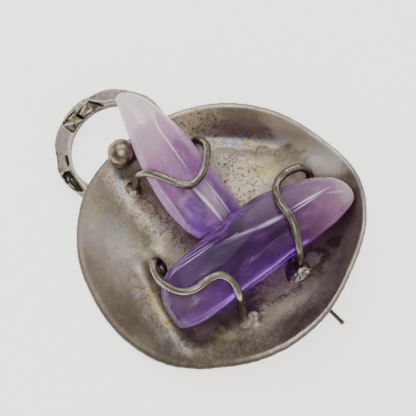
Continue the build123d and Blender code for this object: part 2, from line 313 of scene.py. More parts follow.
@dataclass(frozen=True)
class PlateForm:
    """The folded, dished sheet that everything sits on, in millimetres."""

    radius: float = 22.0
    rise: float = 11.0
    floor: float = 3.8
    sheet: float = 1.1
    centre: tuple[float, float] = (1.8, -1.7)
    dish_power: float = 3.0
    fold_fade: float = 6.0
    overlap: float = 0.1

    def rim(self, column: int, turn: np.ndarray) -> np.ndarray:
        """Value of one RIM column at angles in degrees, by a smooth curve through its rows."""
        place = np.asarray(turn) / (360.0 / len(RIM))
        first = np.floor(place).astype(int)
        t = place - first
        a, b, c, d = (RIM[(first + k) % len(RIM), column] for k in (-1, 0, 1, 2))
        return b + 0.5 * t * (c - a + t * (2 * a - 5 * b + 4 * c - d + t * (3 * (b - c) + d - a)))

    def share(self, x: np.ndarray, y: np.ndarray) -> tuple[np.ndarray, np.ndarray]:
        """Share of the way from the centre to the edge, and the angle in degrees."""
        across, along = np.asarray(x) - self.centre[0], np.asarray(y) - self.centre[1]
        turn = np.degrees(np.arctan2(along, across))
        return np.hypot(across, along) / (self.radius * self.rim(0, turn)), turn

    def fold(
        self, x: np.ndarray, y: np.ndarray, rows: Sequence[tuple], sharp: bool = False,
    ) -> np.ndarray:
        """Height that a table of folds adds, before it fades to the edge."""
        height = np.zeros_like(np.asarray(x, dtype=float))
        across, along = (x - self.centre[0]) / self.radius, (y - self.centre[1]) / self.radius
        for x0, y0, x1, y1, spread, rise in rows:
            away = off_line(across, along, (x0, y0), (x1, y1)) / spread
            bump = np.exp(-np.sqrt(away**2 + 0.02)) if sharp else np.exp(-(away**2))
            height = height + self.rise * rise * bump
        return height

    def height(self, x: np.ndarray, y: np.ndarray, fine: bool = False) -> np.ndarray:
        """Height of the upper face over points of the table.

        Args:
            x: Places along +X in millimetres.
            y: Places along +Y.
            fine: Adds the sharper creases.

        Returns:
            Heights in millimetres.
        """
        share, turn = self.share(x, y)
        dish = np.where(
            share < 1, np.abs(share) ** self.dish_power, 1 + self.dish_power * (share - 1)
        )
        level = self.floor + (self.rise * self.rim(1, turn) - self.floor) * dish
        folds = self.fold(x, y, FOLDS)
        if fine:
            folds = folds + self.fold(x, y, CREASES, sharp=True)
        return level + np.maximum(0.0, 1 - share**self.fold_fade) * folds

    def over(self, point: Vector, above: float = 0.0) -> Vector:
        """Point straight over or under another, above the upper face."""
        level = float(self.height(np.array([point.x]), np.array([point.y]))[0])
        return Vector((point.x, point.y, level + above))

    def trim(self, points: np.ndarray, side: int) -> np.ndarray:
        """Presses what crosses the middle of the sheet back to it, inside the plate's plan.

        Args:
            points: Rows of x, y, z.
            side: 1 for what is soldered on the upper face, -1 for what is behind it.

        Returns:
            The trimmed points.
        """
        trimmed = points.copy()
        x, y, z = points.T
        limit = self.height(x, y) - self.sheet / 2 + side * self.overlap
        past = (self.share(x, y)[0] < 1) & (side * (z - limit) < 0)
        trimmed[past, 2] = limit[past]
        return trimmed


PLATE = PlateForm()


@dataclass(frozen=True)
class StoneForm:
    """Line and sections of one polished amethyst point, in millimetres.

    Each dent gives its share of the length, degrees round the section, spread as a share of
    the length and in degrees, and depth.
    """

    start: tuple[float, float, float]
    heading: float
    climb: float
    length: float
    width: float
    thick: float
    sections: tuple
    ridges: tuple
    dents: tuple

    @property
    def axes(self) -> tuple[Vector, Vector, Vector]:
        """Unit directions along the stone, to its left and up."""
        turn, tilt = math.radians(self.heading), math.radians(self.climb)
        ahead = Vector((math.cos(turn), math.sin(turn), 0.0))
        along = ahead * math.cos(tilt) + Vector((0.0, 0.0, math.sin(tilt)))
        left = Vector((-math.sin(turn), math.cos(turn), 0.0))
        return along, left, along.cross(left)

    def section(self, share: float) -> tuple[float, float, float, float]:
        """Half width, shift, half height and lift at a share of the length."""
        rows = self.sections
        share = min(max(share, rows[0][0]), rows[-1][0])
        low, high = next(pair for pair in zip(rows, rows[1:]) if share <= pair[1][0])
        t = (share - low[0]) / (high[0] - low[0])
        _, wide, shift, tall, lift = (a + t * (b - a) for a, b in zip(low, high))
        half, rise = self.width / 2, self.thick / 2
        return wide * half, shift * half, tall * rise, lift * rise

    def around(self, share: float, turn: float, stand_off: float) -> Vector:
        """Point at a distance outside the stone.

        Args:
            share: Share of the stone's length.
            turn: Degrees round the section from its left side over the top.
            stand_off: Distance outside the section.

        Returns:
            The point in millimetres.
        """
        half, shift, tall, lift = self.section(share)
        along, left, up = self.axes
        side = shift + (half + stand_off) * math.cos(math.radians(turn))
        rise = lift + (tall + stand_off) * math.sin(math.radians(turn))
        return Vector(self.start) + along * share * self.length + left * side + up * rise


UPPER_STONE = StoneForm(
    (-14.206, 19.447, 10.586), -51.5, -6.65, 26.6, 9.8, 6.6, UPPER_SECTIONS, UPPER_RIDGES,
    ((0.9, 120.0, 0.1, 14.0, 0.18), (0.16, 92.0, 0.1, 14.0, 0.12)),
)
LOWER_STONE = StoneForm(
    (-7.308, -14.108, 7.115), 32.0, 4.54, 34.1, 11.4, 7.8, LOWER_SECTIONS, LOWER_RIDGES,
    ((0.4, 40.0, 0.055, 24.0, 0.62), (0.17, 28.0, 0.1, 16.0, 0.25),
     (0.5, 108.0, 0.2, 7.0, 0.14)),
)


# Finishes


def linear(colour: str) -> tuple[float, float, float, float]:
    """Turns an sRGB hex colour into linear red, green, blue and alpha."""
    parts = [int(colour[k:k + 2], 16) / 255.0 for k in (1, 3, 5)]
    turned = [c / 12.92 if c <= 0.04045 else ((c + 0.055) / 1.055) ** 2.4 for c in parts]
    return (*turned, 1.0)


BLACK = linear("#000000")
WHITE = "#ffffff"


def add_node(
    tree: bpy.types.NodeTree, kind: str, links: dict[str | int, object] | None = None,
    out: str | int = 0, stops: Sequence[tuple[float, tuple]] = (), **settings: object,
) -> NodeSocket:
    """Adds a node with its settings, and sets or links its inputs.

    Args:
        tree: The node tree.
        kind: The node's type.
        links: Inputs by name or number, each a value or another node's output.
        out: The output that is wanted, by name or number.
        stops: Places and colours of its colour ramp.
        **settings: The node's properties.

    Returns:
        That output of the new node.
    """
    node = tree.nodes.new(kind)
    for key, value in settings.items():
        setattr(node, key, value)
    for key, value in (links or {}).items():
        if isinstance(value, NodeSocket):
            tree.links.new(value, node.inputs[key])
        else:
            node.inputs[key].default_value = value
    # A new colour ramp starts with its two ends, so the last stop comes second
    for number, (share, colour) in enumerate(stops and (stops[0], stops[-1], *stops[1:-1])):
        points = node.color_ramp.elements
        point = points[number] if number < 2 else points.new(share)
        point.position, point.color = share, colour
    return node.outputs[out] if len(node.outputs) else None


Adder = Callable[..., NodeSocket]


def new_material(name: str) -> tuple[Material, Adder]:
    """Starts an empty material, and returns it with the function that adds a node to it."""
    material = bpy.data.materials.new(name)
    material.use_nodes = True
    material.node_tree.nodes.clear()
    return material, partial(add_node, material.node_tree)


def in_millimetres(node: Adder) -> NodeSocket:
    """Object coordinates in millimetres."""
    place = node("ShaderNodeTexCoord", out="Object")
    return node("ShaderNodeMapping", {"Vector": place, "Scale": (1 / MM,) * 3})


def warped_by(
    node: Adder, place: NodeSocket, base: NodeSocket, scale: float, reach: tuple,
) -> NodeSocket:
    """Coordinates that wander, so that no patch on them is a clean ellipse.

    Args:
        node: Adds a node to the material.
        place: Coordinates that the wandering follows.
        base: Coordinates that wander.
        scale: Waves in a millimetre.
        reach: How far they wander along each axis, in millimetres.

    Returns:
        The new coordinates.
    """
    drift = node(
        "ShaderNodeTexNoise", {"Vector": place, "Scale": scale, "Detail": 3.0}, out="Color"
    )
    shift = node("ShaderNodeVectorMath", {0: drift, 1: (0.5, 0.5, 0.5)}, operation="SUBTRACT")
    return node("ShaderNodeVectorMath", {0: shift, 1: reach, 2: base}, operation="MULTIPLY_ADD")


class Tone(Enum):
    """Colour of a patch that isn't one plain colour."""

    FILM = "film"


@dataclass(frozen=True)
class Patch:
    """A patch of tarnish, wear or colour, or of painted light or shade: a soft ellipse, in
    millimetres.

    Its edge is blurred by soft and broken up by specks, which fill thins out.
    """

    place: tuple[float, float]
    size: tuple[float, float]
    turn: float
    colour: str | Tone
    strength: float = 0.7
    soft: float = 0.45
    specks: float = 0.6
    fill: float = 1.0


def patches(rows: Sequence[tuple], *colour: str) -> tuple[Patch, ...]:
    """Turns a table into patches.

    Args:
        rows: x, y, half width, half height and turn, then the rest of a Patch in order.
        *colour: The colour of them all, left out of the rows.

    Returns:
        The patches in order.
    """
    return tuple(
        Patch((x, y), (wide, high), turn, *colour, *rest) for x, y, wide, high, turn, *rest in rows
    )


def lay_patches(
    node: Adder, place: NodeSocket, grit: NodeSocket, colour: NodeSocket | tuple,
    rows: Sequence[Patch], film: NodeSocket | None = None,
) -> NodeSocket:
    """Lays patches over a colour, in order.

    Args:
        node: Adds a node to the material.
        place: Coordinates in millimetres.
        grit: Fine noise round 0 that breaks up the patches.
        colour: The colour under them.
        rows: The patches.
        film: Colour of thin tarnish, for the patches of that tone.

    Returns:
        The colour with its patches.
    """
    for patch in rows:
        local = node(
            "ShaderNodeMapping",
            {"Vector": place, "Location": (*patch.place, 0.0), "Scale": (*patch.size, 1000.0),
             "Rotation": (0.0, 0.0, math.radians(patch.turn))},
            vector_type="TEXTURE",
        )
        away = node("ShaderNodeVectorMath", {0: local}, out="Value", operation="LENGTH")
        broken = node(
            "ShaderNodeMath", {0: grit, 1: patch.specks, 2: away}, operation="MULTIPLY_ADD"
        )
        factor = node(
            "ShaderNodeMapRange",
            {"Value": broken, "From Min": patch.fill + patch.soft,
             "From Max": patch.fill - patch.soft, "To Min": 0.0, "To Max": patch.strength},
            interpolation_type="SMOOTHSTEP",
        )
        over = film if patch.colour is Tone.FILM else linear(patch.colour)
        colour = node("ShaderNodeMix", {0: factor, 6: colour, 7: over}, out=2, data_type="RGBA")
    return colour


def lay_tints(
    node: Adder, colour: NodeSocket | tuple, layers: Sequence[tuple[NodeSocket, str]],
) -> NodeSocket:
    """Lays plain tints over a colour, each as strong as its factor, and returns the colour."""
    for factor, tint in layers:
        colour = node(
            "ShaderNodeMix", {0: factor, 6: colour, 7: linear(tint)}, out=2, data_type="RGBA"
        )
    return colour


@dataclass(frozen=True)
class Grain:
    """A noise pattern: the size of its bumps in millimetres, and how busy and rough it is."""

    name: str
    size: float
    detail: float
    rough: float = 0.55
    stretch: tuple[float, float, float] = (1.0, 1.0, 1.0)


@dataclass(frozen=True)
class Step:
    """A factor that rises from bottom to top while a grain goes from low to high."""

    name: str
    grain: str
    low: float
    high: float
    bottom: float = 0.0
    top: float = 1.0


def make_factors(
    node: Adder, place: NodeSocket, grains: Sequence[Grain], steps: Sequence[Step],
) -> dict[str, NodeSocket]:
    """Makes the noise patterns of a material and the factors that are read from them.

    Args:
        node: Adds a node to the material.
        place: Coordinates in millimetres.
        grains: The patterns.
        steps: The factors.

    Returns:
        The sockets by name, and as middle the grit with 0 as its middle.
    """
    made = {}
    for number, one in enumerate(grains):
        stretched = node(
            "ShaderNodeMapping",
            {"Vector": place, "Scale": one.stretch, "Rotation": (0.0, 0.0, 0.7)},
        )
        made[one.name] = node(
            "ShaderNodeTexNoise",
            {"Vector": stretched, "W": 3.7 * number, "Scale": 1.0 / one.size,
             "Detail": one.detail, "Roughness": one.rough},
            noise_dimensions="4D",
        )
    for one in steps:
        made[one.name] = node(
            "ShaderNodeMapRange",
            {"Value": made[one.grain], "From Min": one.low, "From Max": one.high,
             "To Min": one.bottom, "To Max": one.top},
            interpolation_type="SMOOTHSTEP",
        )
    made["middle"] = node("ShaderNodeMath", {0: made["grit"], 1: 0.5}, operation="SUBTRACT")
    return made


# Colours of thin silver tarnish as it thickens: cream, straw, rose, blue, grey-green
FILM = ((0.36, "#e4eaf0"), (0.43, "#6c9ce4"), (0.47, "#fcf6e0"), (0.51, "#f0cc54"),
        (0.55, "#d4788c"), (0.59, "#86a458"), (0.64, "#fcf6e8"))


@dataclass(frozen=True)
class OxidisedSilver:
    """Hand-worked sterling silver, darkened by age and polished bright where it is touched."""

    name: str
    grey: str = "#a39a8e"
    dark: str = "#5c5348"
    bright: str = "#cfc7bb"
    roughness: float = 0.4
    tarnish: float = 0.5
    grains: tuple[Grain, ...] = (
        # Cloudy tarnish a few millimetres across, finer mottling in it, specks of black
        # sulphide a third of a millimetre across, hammer marks 2 mm wide, polishing scratches
        Grain("cloud", 5.0, 4.0), Grain("mottle", 1.2, 5.0, 0.65), Grain("grit", 0.36, 3.0, 0.6),
        Grain("blows", 2.4, 1.0, 0.4), Grain("scratch", 0.7, 3.0, 0.7, (4.0, 0.6, 0.6)),
        Grain("film", 2.0, 2.5, 0.5), Grain("dust", 0.6, 5.0, 0.75), Grain("wear", 2.2, 4.0, 0.6),
    )

    def build(
        self, patched: Sequence[Patch] = (), pitted: Sequence[Patch] = (),
        crusted: Sequence[Patch] = (),
    ) -> Material:
        """Makes the material, with painted highlights, painted shade and the upper face read from
        the mesh.

        Args:
            patched: Patches of tarnish and wear on the upper face.
            pitted: White patches where the upper face is pitted.
            crusted: White patches where tarnish has grown to a dull crust on it.

        Returns:
            The material.
        """
        material, node = new_material(self.name)
        place = in_millimetres(node)
        middle = 0.62 - 0.2 * self.tarnish
        made = make_factors(node, place, self.grains, (
            Step("darkened", "cloud", middle - 0.12, middle + 0.16, 0.0, 0.75),
            Step("mottled", "mottle", 0.44, 0.64, 0.0, 0.4),
            Step("brightened", "wear", 0.5, 0.68, 0.0, 0.45),
            Step("spots", "grit", 0.63, 0.7), Step("where", "cloud", 0.48, 0.62),
            Step("rough", "mottle", 0.25, 0.75, self.roughness - 0.06, self.roughness + 0.12),
            Step("edge_wear_and_highlight", "grit", 0.34, 0.56, 0.45, 1.0),
            Step("dust", "dust", 0.54, 0.68, 0.0, 0.3),
            Step("scuffs", "scratch", 0.56, 0.7, 0.0, 0.18),
            Step("soot", "dust", 0.47, 0.36, 0.0, 0.6),
            Step("pits", "grit", 0.47, 0.38, 0.0, 0.95),
            Step("glinting_tops", "grit", 0.49, 0.57, 0.0, 0.95),
            Step("stains", "wear", 0.46, 0.36, 0.0, 0.55),
            Step("bare", "mottle", 0.5, 0.58, 0.0, 0.9),
        ))
        colour = lay_tints(node, linear(self.grey), (
            (made["darkened"], self.dark), (made["mottled"], self.dark),
            (made["brightened"], self.bright),
        ))
        worn, deep, face = (
            node("ShaderNodeAttribute", out="Fac", attribute_name=name)
            for name in ("worn", "deep", "face")
        )
        metal: NodeSocket | float = 1.0
        pit_depth = None
        if patched:
            film = node(
                "ShaderNodeValToRGB", {"Fac": made["film"]},
                stops=[(share, linear(tint)) for share, tint in FILM],
            )
            warped = warped_by(node, place, place, 0.5, (3.0, 3.0, 0.0))
            where = lay_patches(node, warped, made["middle"], BLACK, pitted)
            # Pitted patches get stains, bare silver, dark pits and painted glints on the high
            # points between pits
            upper = lay_tints(
                node, lay_patches(node, warped, made["middle"], colour, patched, film), [
                    (node("ShaderNodeMath", {0: made[factor], 1: where}, operation="MULTIPLY"),
                     tint)
                    for factor, tint in (("stains", "#6e6152"), ("bare", "#f4ead4"),
                                         ("pits", "#32291f"), ("glinting_tops", "#fdf8ee"))
                ]
            )
            colour = node("ShaderNodeMix", {0: face, 6: colour, 7: upper}, out=2, data_type="RGBA")
            pit_depth = node("ShaderNodeMath", {0: where, 1: 0.7}, operation="MULTIPLY")
        if crusted:
            crust = lay_patches(node, warped, made["middle"], BLACK, crusted)
            crust = node("ShaderNodeMath", {0: crust, 1: face}, operation="MULTIPLY")
            metal = node("ShaderNodeMath", {0: crust, 1: -1.0, 2: 1.0}, operation="MULTIPLY_ADD")
        spots, edge = (
            node("ShaderNodeMath", {0: one, 1: other}, operation="MULTIPLY")
            for one, other in ((made["spots"], made["where"]), (worn, made["edge_wear_and_highlight"]))
        )
        # The deep tint is painted shade, partly patina in hollows; the edge tint is a painted
        # highlight,
        # partly bright from wear. Dust, soot, scuffs and the black specks are the silver's own.
        colour = lay_tints(node, colour, (
            (made["dust"], "#ece5d8"), (made["soot"], self.dark), (made["scuffs"], self.bright),
            (spots, "#2a241e"), (deep, "#2b2520"), (edge, "#f1e9da"),
        ))
        relief = None
        for height, strength, depth in (
            (made["blows"], 0.3, 0.16), (made["scratch"], 0.22, 0.03),
            (made["mottle"], 0.22, 0.06), (spots, 0.5, -0.05), (made["grit"], pit_depth, 0.12),
        ):
            if strength is not None:
                links = {"Strength": strength, "Distance": depth * MM, "Height": height}
                relief = node("ShaderNodeBump", links | ({"Normal": relief} if relief else {}))
        surface = node(
            "ShaderNodeBsdfPrincipled",
            {"Base Color": colour, "Metallic": metal, "Roughness": made["rough"],
             "Normal": relief},
        )
        node("ShaderNodeOutputMaterial", {"Surface": surface})
        return material


@dataclass(frozen=True)
class Amethyst:
    """Tumbled and polished amethyst: clear violet quartz with zones of colour, veiled patches, and
    painted highlights and reflections.

    Each stop gives a share of the length, the colour there and how clear the quartz is.
    """

    name: str
    stone: StoneForm
    stops: tuple[tuple[float, str, float], ...]
    # Patches of colour and of painted reflection, then thin painted highlight lines along the
    # ridges
    veils_and_reflections: tuple[Patch, ...]
    lines: tuple[Patch, ...]
    milk: float = 0.3
    polish: float = 0.7
    ior: float = 1.544
    coat_roughness: float = 0.16
    grains: tuple[Grain, ...] = (
        # Healed cracks leave faint milky wisps a few millimetres long inside the quartz, and
        # tumbling leaves shallow waves about 3 mm wide on its skin
        Grain("wisps", 1.6, 4.0, 0.6, (0.4, 1.0, 1.0)), Grain("waves", 3.0, 1.0, 0.4),
        Grain("grit", 0.9, 3.0, 0.5),
    )

    def build(self) -> Material:
        """Makes the material, with its zones running along the stone."""
        material, node = new_material(self.name)
        place = in_millimetres(node)
        stone = self.stone
        local = node(
            "ShaderNodeMapping",
            {"Vector": place, "Location": stone.start,
             "Rotation": (0.0, -math.radians(stone.climb), math.radians(stone.heading))},
            vector_type="TEXTURE",
        )
        made = make_factors(node, local, self.grains, (
            Step("milk", "wisps", 0.5, 0.78, 0.0, self.milk),
            Step("clouding", "wisps", 0.45, 0.8, 1.0, 0.75),
        ))
        warped = warped_by(node, place, local, 0.3, (3.0, 2.0, 0.0))
        along = node("ShaderNodeSeparateXYZ", {0: warped})
        along = node("ShaderNodeMath", {0: along, 1: stone.length}, operation="DIVIDE")
        bands = node(
            "ShaderNodeValToRGB", {"Fac": along},
            stops=[(share, (*linear(tint)[:3], clear)) for share, tint, clear in self.stops],
        )
        bands.node.color_ramp.interpolation = "B_SPLINE"
        # Thin painted highlights along the ridges, partly frosting from tumbling, kept to the
        # stone's upper side
        highlight_and_frost = node(
            "ShaderNodeMath",
            {0: lay_patches(node, local, made["middle"], BLACK, self.lines),
             1: node("ShaderNodeAttribute", out="Fac", attribute_name="upper")},
            operation="MULTIPLY",
        )
        colour = lay_tints(
            node, lay_patches(node, warped, made["middle"], bands, self.veils_and_reflections),
            ((made["milk"], "#d6c8da"), (highlight_and_frost, "#fbf4fd")),
        )
        clear = node(
            "ShaderNodeMath", {0: bands.node.outputs["Alpha"], 1: made["clouding"]},
            operation="MULTIPLY",
        )
        rough = node(
            "ShaderNodeMapRange",
            {"Value": clear, "From Min": 0.3, "From Max": 0.9, "To Min": 0.45, "To Max": 0.13},
        )
        bare = node("ShaderNodeMath", {0: highlight_and_frost, 1: -1.0, 2: 1.0}, operation="MULTIPLY_ADD")
        clear = node("ShaderNodeMath", {0: clear, 1: bare}, operation="MULTIPLY")
        relief = node(
            "ShaderNodeBump", {"Strength": 0.05, "Distance": 0.1 * MM, "Height": made["waves"]}
        )
        surface = node(
            "ShaderNodeBsdfPrincipled",
            {"Base Color": colour, "Metallic": 0.0, "Roughness": rough, "IOR": self.ior,
             "Transmission Weight": clear, "Normal": relief, "Coat Weight": self.polish,
             "Coat Roughness": self.coat_roughness, "Coat IOR": self.ior, "Coat Normal": relief,
             "Specular IOR Level": 0.0, "Specular Tint": BLACK},
        )
        node("ShaderNodeOutputMaterial", {"Surface": surface})
        return material


# The plate


@dataclass
class Plate:
    """The folded, dished sheet of silver."""

    form: PlateForm = PLATE
    spokes: int = 72
    rings: int = 22
    cuts: int = 3
    edge_round: float = 0.3
    middle: float = 0.05
    outer_ring: float = 0.94
    inset: float = 0.9985
    wall_from: float = 0.80
    land_from: float = 0.965
    land_drop: float = 0.16

    def disc(self) -> Object:
        """Makes a flat round sheet with rounded edges, in concentric rings."""
        activate()
        radius = self.form.radius
        bpy.ops.mesh.primitive_circle_add(vertices=self.spokes, radius=radius, fill_type="NGON")
        piece = added("plate")
        reach = math.cos(math.pi / self.spokes) * radius
        shares = [1.0, *np.linspace(self.outer_ring, self.middle, self.rings)]
        with editing(piece, whole=True):
            for last, share in zip(shares, shares[1:]):
                bpy.ops.mesh.inset(thickness=(last - share) * reach, use_even_offset=True)
            bpy.ops.mesh.poke()
            bpy.ops.mesh.select_all(action="SELECT")
            bpy.ops.mesh.extrude_region_move(
                TRANSFORM_OT_translate={"value": (0, 0, -self.form.sheet)}
            )
        close_up(piece)
        with editing(piece, "EDGE") as mesh:
            pick(mesh, mesh.edges, lambda e: e.calc_face_angle(0) > 1.0)
            bpy.ops.mesh.bevel(
                offset=self.edge_round, segments=3, affect="EDGES", clamp_overlap=True
            )
        with editing(piece, whole=True):
            bpy.ops.mesh.subdivide(number_cuts=self.cuts)
        return piece

    def build(self, material: Material) -> Object:
        """Makes the plate in its place.

        Args:
            material: Its finish.

        Returns:
            The plate.
        """
        form, piece = self.form, self.disc()
        flat = vertices(piece)
        across, along, z = flat.T
        turn = np.degrees(np.arctan2(along, across))
        angles = np.radians(turn)
        share = np.hypot(across, along) / form.radius
        # The sheet's cut edge wavers a little, most at the bottom
        low_edge = bell(turn, -88.0, 38.0)
        circle = np.stack([22 * np.cos(angles), 22 * np.sin(angles), 0 * turn], 1)
        waver = ripple(circle, 0.9, 3.0) * (0.05 + 0.10 * low_edge) * smooth_step(0.9, 1.0, share)
        reach = form.radius * form.rim(0, turn) * self.inset + waver
        # It stands square to the steep wall, so it shows as a flat band from above
        land_from = self.land_from + 0.013 * bell(turn, -12.0, 50.0) - 0.006 * bell(
            turn, 85.0, 40.0
        )
        steep = (share - self.wall_from) * (1 - self.wall_from) / (land_from - self.wall_from)
        drawn = np.where(share > self.wall_from, self.wall_from + steep, share)
        drawn[share > land_from] = 1.0
        (x, y), (wall_x, wall_y) = (
            (form.centre[0] + part * reach * np.cos(angles),
             form.centre[1] + part * reach * np.sin(angles)) for part in (share, drawn)
        )
        height = form.height(wall_x, wall_y, fine=True)
        height = height - self.land_drop * smooth_step(
            0.0, 1.0, (share - land_from) / (1 - land_from)
        )
        plan = np.stack([x, y, 0 * x], 1)
        worked = 0.07 * ripple(plan, 4.5, 1.0, 2) + 0.028 * ripple(plan, 1.7, 2.0, 2)
        worked = worked * (1 - smooth_step(0.9, 1.0, share))
        set_vertices(piece, np.stack([x, y, height + z + worked], 1))
        # The band round the rim has a painted highlight line along its inner edge, partly bright
        # from wear in
        # places; painted shade in a groove near its edge and on the cut side; darker tarnish under
        # it
        upper = smooth_step(-form.sheet * 0.5, -form.sheet * 0.2, z)
        raised = smooth_step(0.35, 0.75, form.rim(1, turn))
        line = bell(share - land_from, 0.004, 0.006)
        land = smooth_step(-0.006, 0.004, share - land_from)
        groove = bell(share, 0.984, 0.004)
        uneven = np.clip(0.5 + 0.6 * ripple(plan, 4.0, 8.0, 2), 0.0, 1.0)
        side = smooth_step(0.990, 0.998, share)
        set_attributes(
            piece, face=upper,
            worn=upper * (1 - side) * raised * (0.2 * land + line * (0.35 + 0.6 * uneven)),
            deep=np.clip(
                0.70 * side + 0.45 * (1 - upper) * land + 0.35 * groove * raised * uneven, 0, 1
            ),
        )
        return finish_piece(piece, material)


# The pendant ring


@dataclass
class PendantRing:
    """The heavy ring behind the upper left edge, with hammered flats and sunk panels."""

    outer: float = 9.37
    band: float = 2.35
    depth: float = 2.4
    centre: tuple[float, float, float] = (-14.854, 13.7, 3.722)
    lean: tuple[float, float, float] = (-0.244, -0.075, 0.967)
    steps: int = 360
    cuts: int = 14
    corner: float = 0.28
    flats: int = 17
    slope: float = 0.62
    # Inner edge of the flat top face: degrees, share of the band. Below it the face slants down
    edge: tuple = (
        (60.0, 0.06), (84.0, 0.13), (100.0, 0.09), (110.0, 0.41), (116.0, 0.73), (125.0, 0.77),
        (152.0, 0.82), (155.0, 0.44), (157.5, 0.00), (184.0, 0.00), (205.0, 0.06), (240.0, 0.02),
    )
    # Sunk panel with slanting sides: degrees, its inner and its outer edge as shares of the band
    panel: tuple = (
        (205.5, 0.55, 0.60), (207.5, 0.26, 0.86), (215.0, 0.28, 0.92), (224.0, 0.34, 0.94),
        (231.0, 0.46, 0.86), (236.5, 0.62, 0.66),
    )
    panel_depth: float = 0.5
    # Chisel and punch marks: start and end as degrees and share of the band, half width and
    # height in millimetres, sunk where it is negative
    marks: tuple = (
        (84, 0.15, 100, 0.12, 0.08, 0.05), (100, 0.12, 110, 0.43, 0.08, 0.05),
        (110, 0.43, 116, 0.75, 0.08, 0.05), (115, 0.6, 109, 0.26, 0.16, -0.3),
        (109, 0.26, 101, -0.08, 0.18, -0.3), (117, 0.66, 128, 0.63, 0.08, 0.14),
        (128, 0.63, 137, 0.6, 0.08, 0.16), (137, 0.6, 144, 0.68, 0.08, 0.14),
        (135, 0.66, 133, 0.08, 0.15, -0.42), (131, 0.5, 127, 0.6, 0.1, -0.3),
        (152, 0.84, 145, 0.76, 0.1, -0.28), (145, 0.76, 138, 0.74, 0.09, -0.24),
        (142, -0.12, 149, -0.1, 0.16, -0.25), (149, -0.1, 156, -0.06, 0.14, -0.25),
        (131, 0.34, 126, 0.42, 0.08, 0.14), (126, 0.42, 121, 0.52, 0.08, 0.14),
        (153, 0.78, 147, 0.44, 0.08, 0.16), (147, 0.44, 139, 0.12, 0.09, 0.16),
        (139, 0.12, 133, 0.02, 0.09, 0.12), (153.6, 0.84, 155, 0.44, 0.09, 0.05),
        (155, 0.44, 157.4, 0.02, 0.09, 0.05), (119, -0.1, 124, -0.1, 0.09, 0.14),
        (118.5, 0.14, 124.5, 0.14, 0.09, 0.14), (118, 0.0, 119, 0.08, 0.08, 0.12),
        (121.5, 0.03, 122.5, 0.03, 0.1, -0.2), (143, 0.32, 147, 0.18, 0.1, -0.25),
        (185, 0.86, 194, 0.9, 0.26, -0.5), (194, 0.9, 204, 0.99, 0.2, -0.45),
        (191, 0.94, 197, 0.97, 0.07, 0.26), (188, 0.16, 199, 0.19, 0.13, -0.34),
        (204.5, 0.12, 222, 0.18, 0.1, 0.12), (222, 0.18, 238, 0.44, 0.11, 0.12),
        (227, 1.0, 232, 0.9, 0.09, 0.08), (232, 0.9, 238, 0.68, 0.09, 0.08),
        (205, 0.92, 204.3, 0.2, 0.07, 0.05), (215, 0.5, 222, 0.47, 0.07, 0.24),
        (217.5, 0.8, 226, 0.83, 0.08, 0.24), (211, 0.62, 214, 0.74, 0.06, 0.14),
    )

    def hoop(self) -> Object:
        """Spins the band's section round the ring's centre."""
        activate()
        middle = self.outer - self.band / 2
        bpy.ops.mesh.primitive_plane_add(
            size=1, location=(middle, 0, 0), rotation=(math.pi / 2, 0, 0)
        )
        piece = added("pendant_ring")
        points = vertices(piece)
        points[:, 0] = middle + (points[:, 0] - middle) * self.band
        points[:, 2] *= self.depth
        set_vertices(piece, points)
        with editing(piece, "VERT", whole=True):
            bpy.ops.mesh.bevel(offset=self.corner, segments=3, affect="VERTICES")
            bpy.ops.mesh.select_all(action="SELECT")
            bpy.ops.mesh.delete(type="ONLY_FACE")
        with editing(piece, "EDGE") as mesh:
            pick(mesh, mesh.edges, lambda e: e.calc_length() > 2 * self.corner)
            bpy.ops.mesh.subdivide(number_cuts=self.cuts)
        with editing(piece, "VERT", whole=True):
            bpy.ops.mesh.spin(
                steps=self.steps, angle=2 * math.pi, center=(0, 0, 0), axis=(0, 0, 1)
            )
            bpy.ops.mesh.select_all(action="SELECT")
            bpy.ops.mesh.remove_doubles(threshold=0.001)
            bpy.ops.mesh.normals_make_consistent(inside=False)
        return piece

    def work(self, points: np.ndarray) -> tuple[np.ndarray, np.ndarray, np.ndarray]:
        """Hammers flats round the outside and top, files the facets and sinks the panels.

        Args:
            points: The plain hoop's vertices.

        Returns:
            The worked vertices, their painted shade with patina, and their painted highlight with
            polish.
        """
        for k in range(self.flats):
            turn = math.radians(360 / self.flats * k + 7 * math.sin(2.7 * k))
            out = Vector((math.cos(turn), math.sin(turn), 0.12 * math.sin(5.1 * k)))
            reach = self.outer * (0.982 + 0.008 * math.sin(3.3 * k))
            points = press_flat(points, out.normalized() * reach, out)
        turn = np.degrees(np.arctan2(points[:, 1], points[:, 0])) % 360
        inner = self.outer - self.band
        share = (np.hypot(points[:, 0], points[:, 1]) - inner) / self.band
        top = smooth_step(0.1, self.depth / 2 - 0.3, points[:, 2])
        edge = np.interp(turn, *zip(*self.edge), left=0.0, right=0.0)
        sink = 0.05 + 0.05 * np.sin(np.radians(turn) * 5 + 1)
        sink = sink + self.slope * self.band * np.maximum(edge - share, 0.0)
        places, *sides = zip(*self.panel)
        low, high = (np.interp(turn, places, side, left=2.0, right=2.0) for side in sides)
        panel = smooth_step(0.0, 0.07, np.minimum(share - low, high - share))
        raised, sunk = np.zeros(len(points)), self.panel_depth * panel
        for *ends, half, height in self.marks:
            start, end = (
                [(inner + out * self.band) * way(math.radians(at)) for way in (math.cos, math.sin)]
                for at, out in (ends[:2], ends[2:])
            )
            away = off_line(points[:, 0], points[:, 1], start, end) / half
            mark = np.exp(-(away**2)) * abs(height)
            if height > 0:
                raised = np.maximum(raised, mark)
            else:
                sunk = np.maximum(sunk, mark)
        points[:, 2] -= top * (sink + sunk - raised)
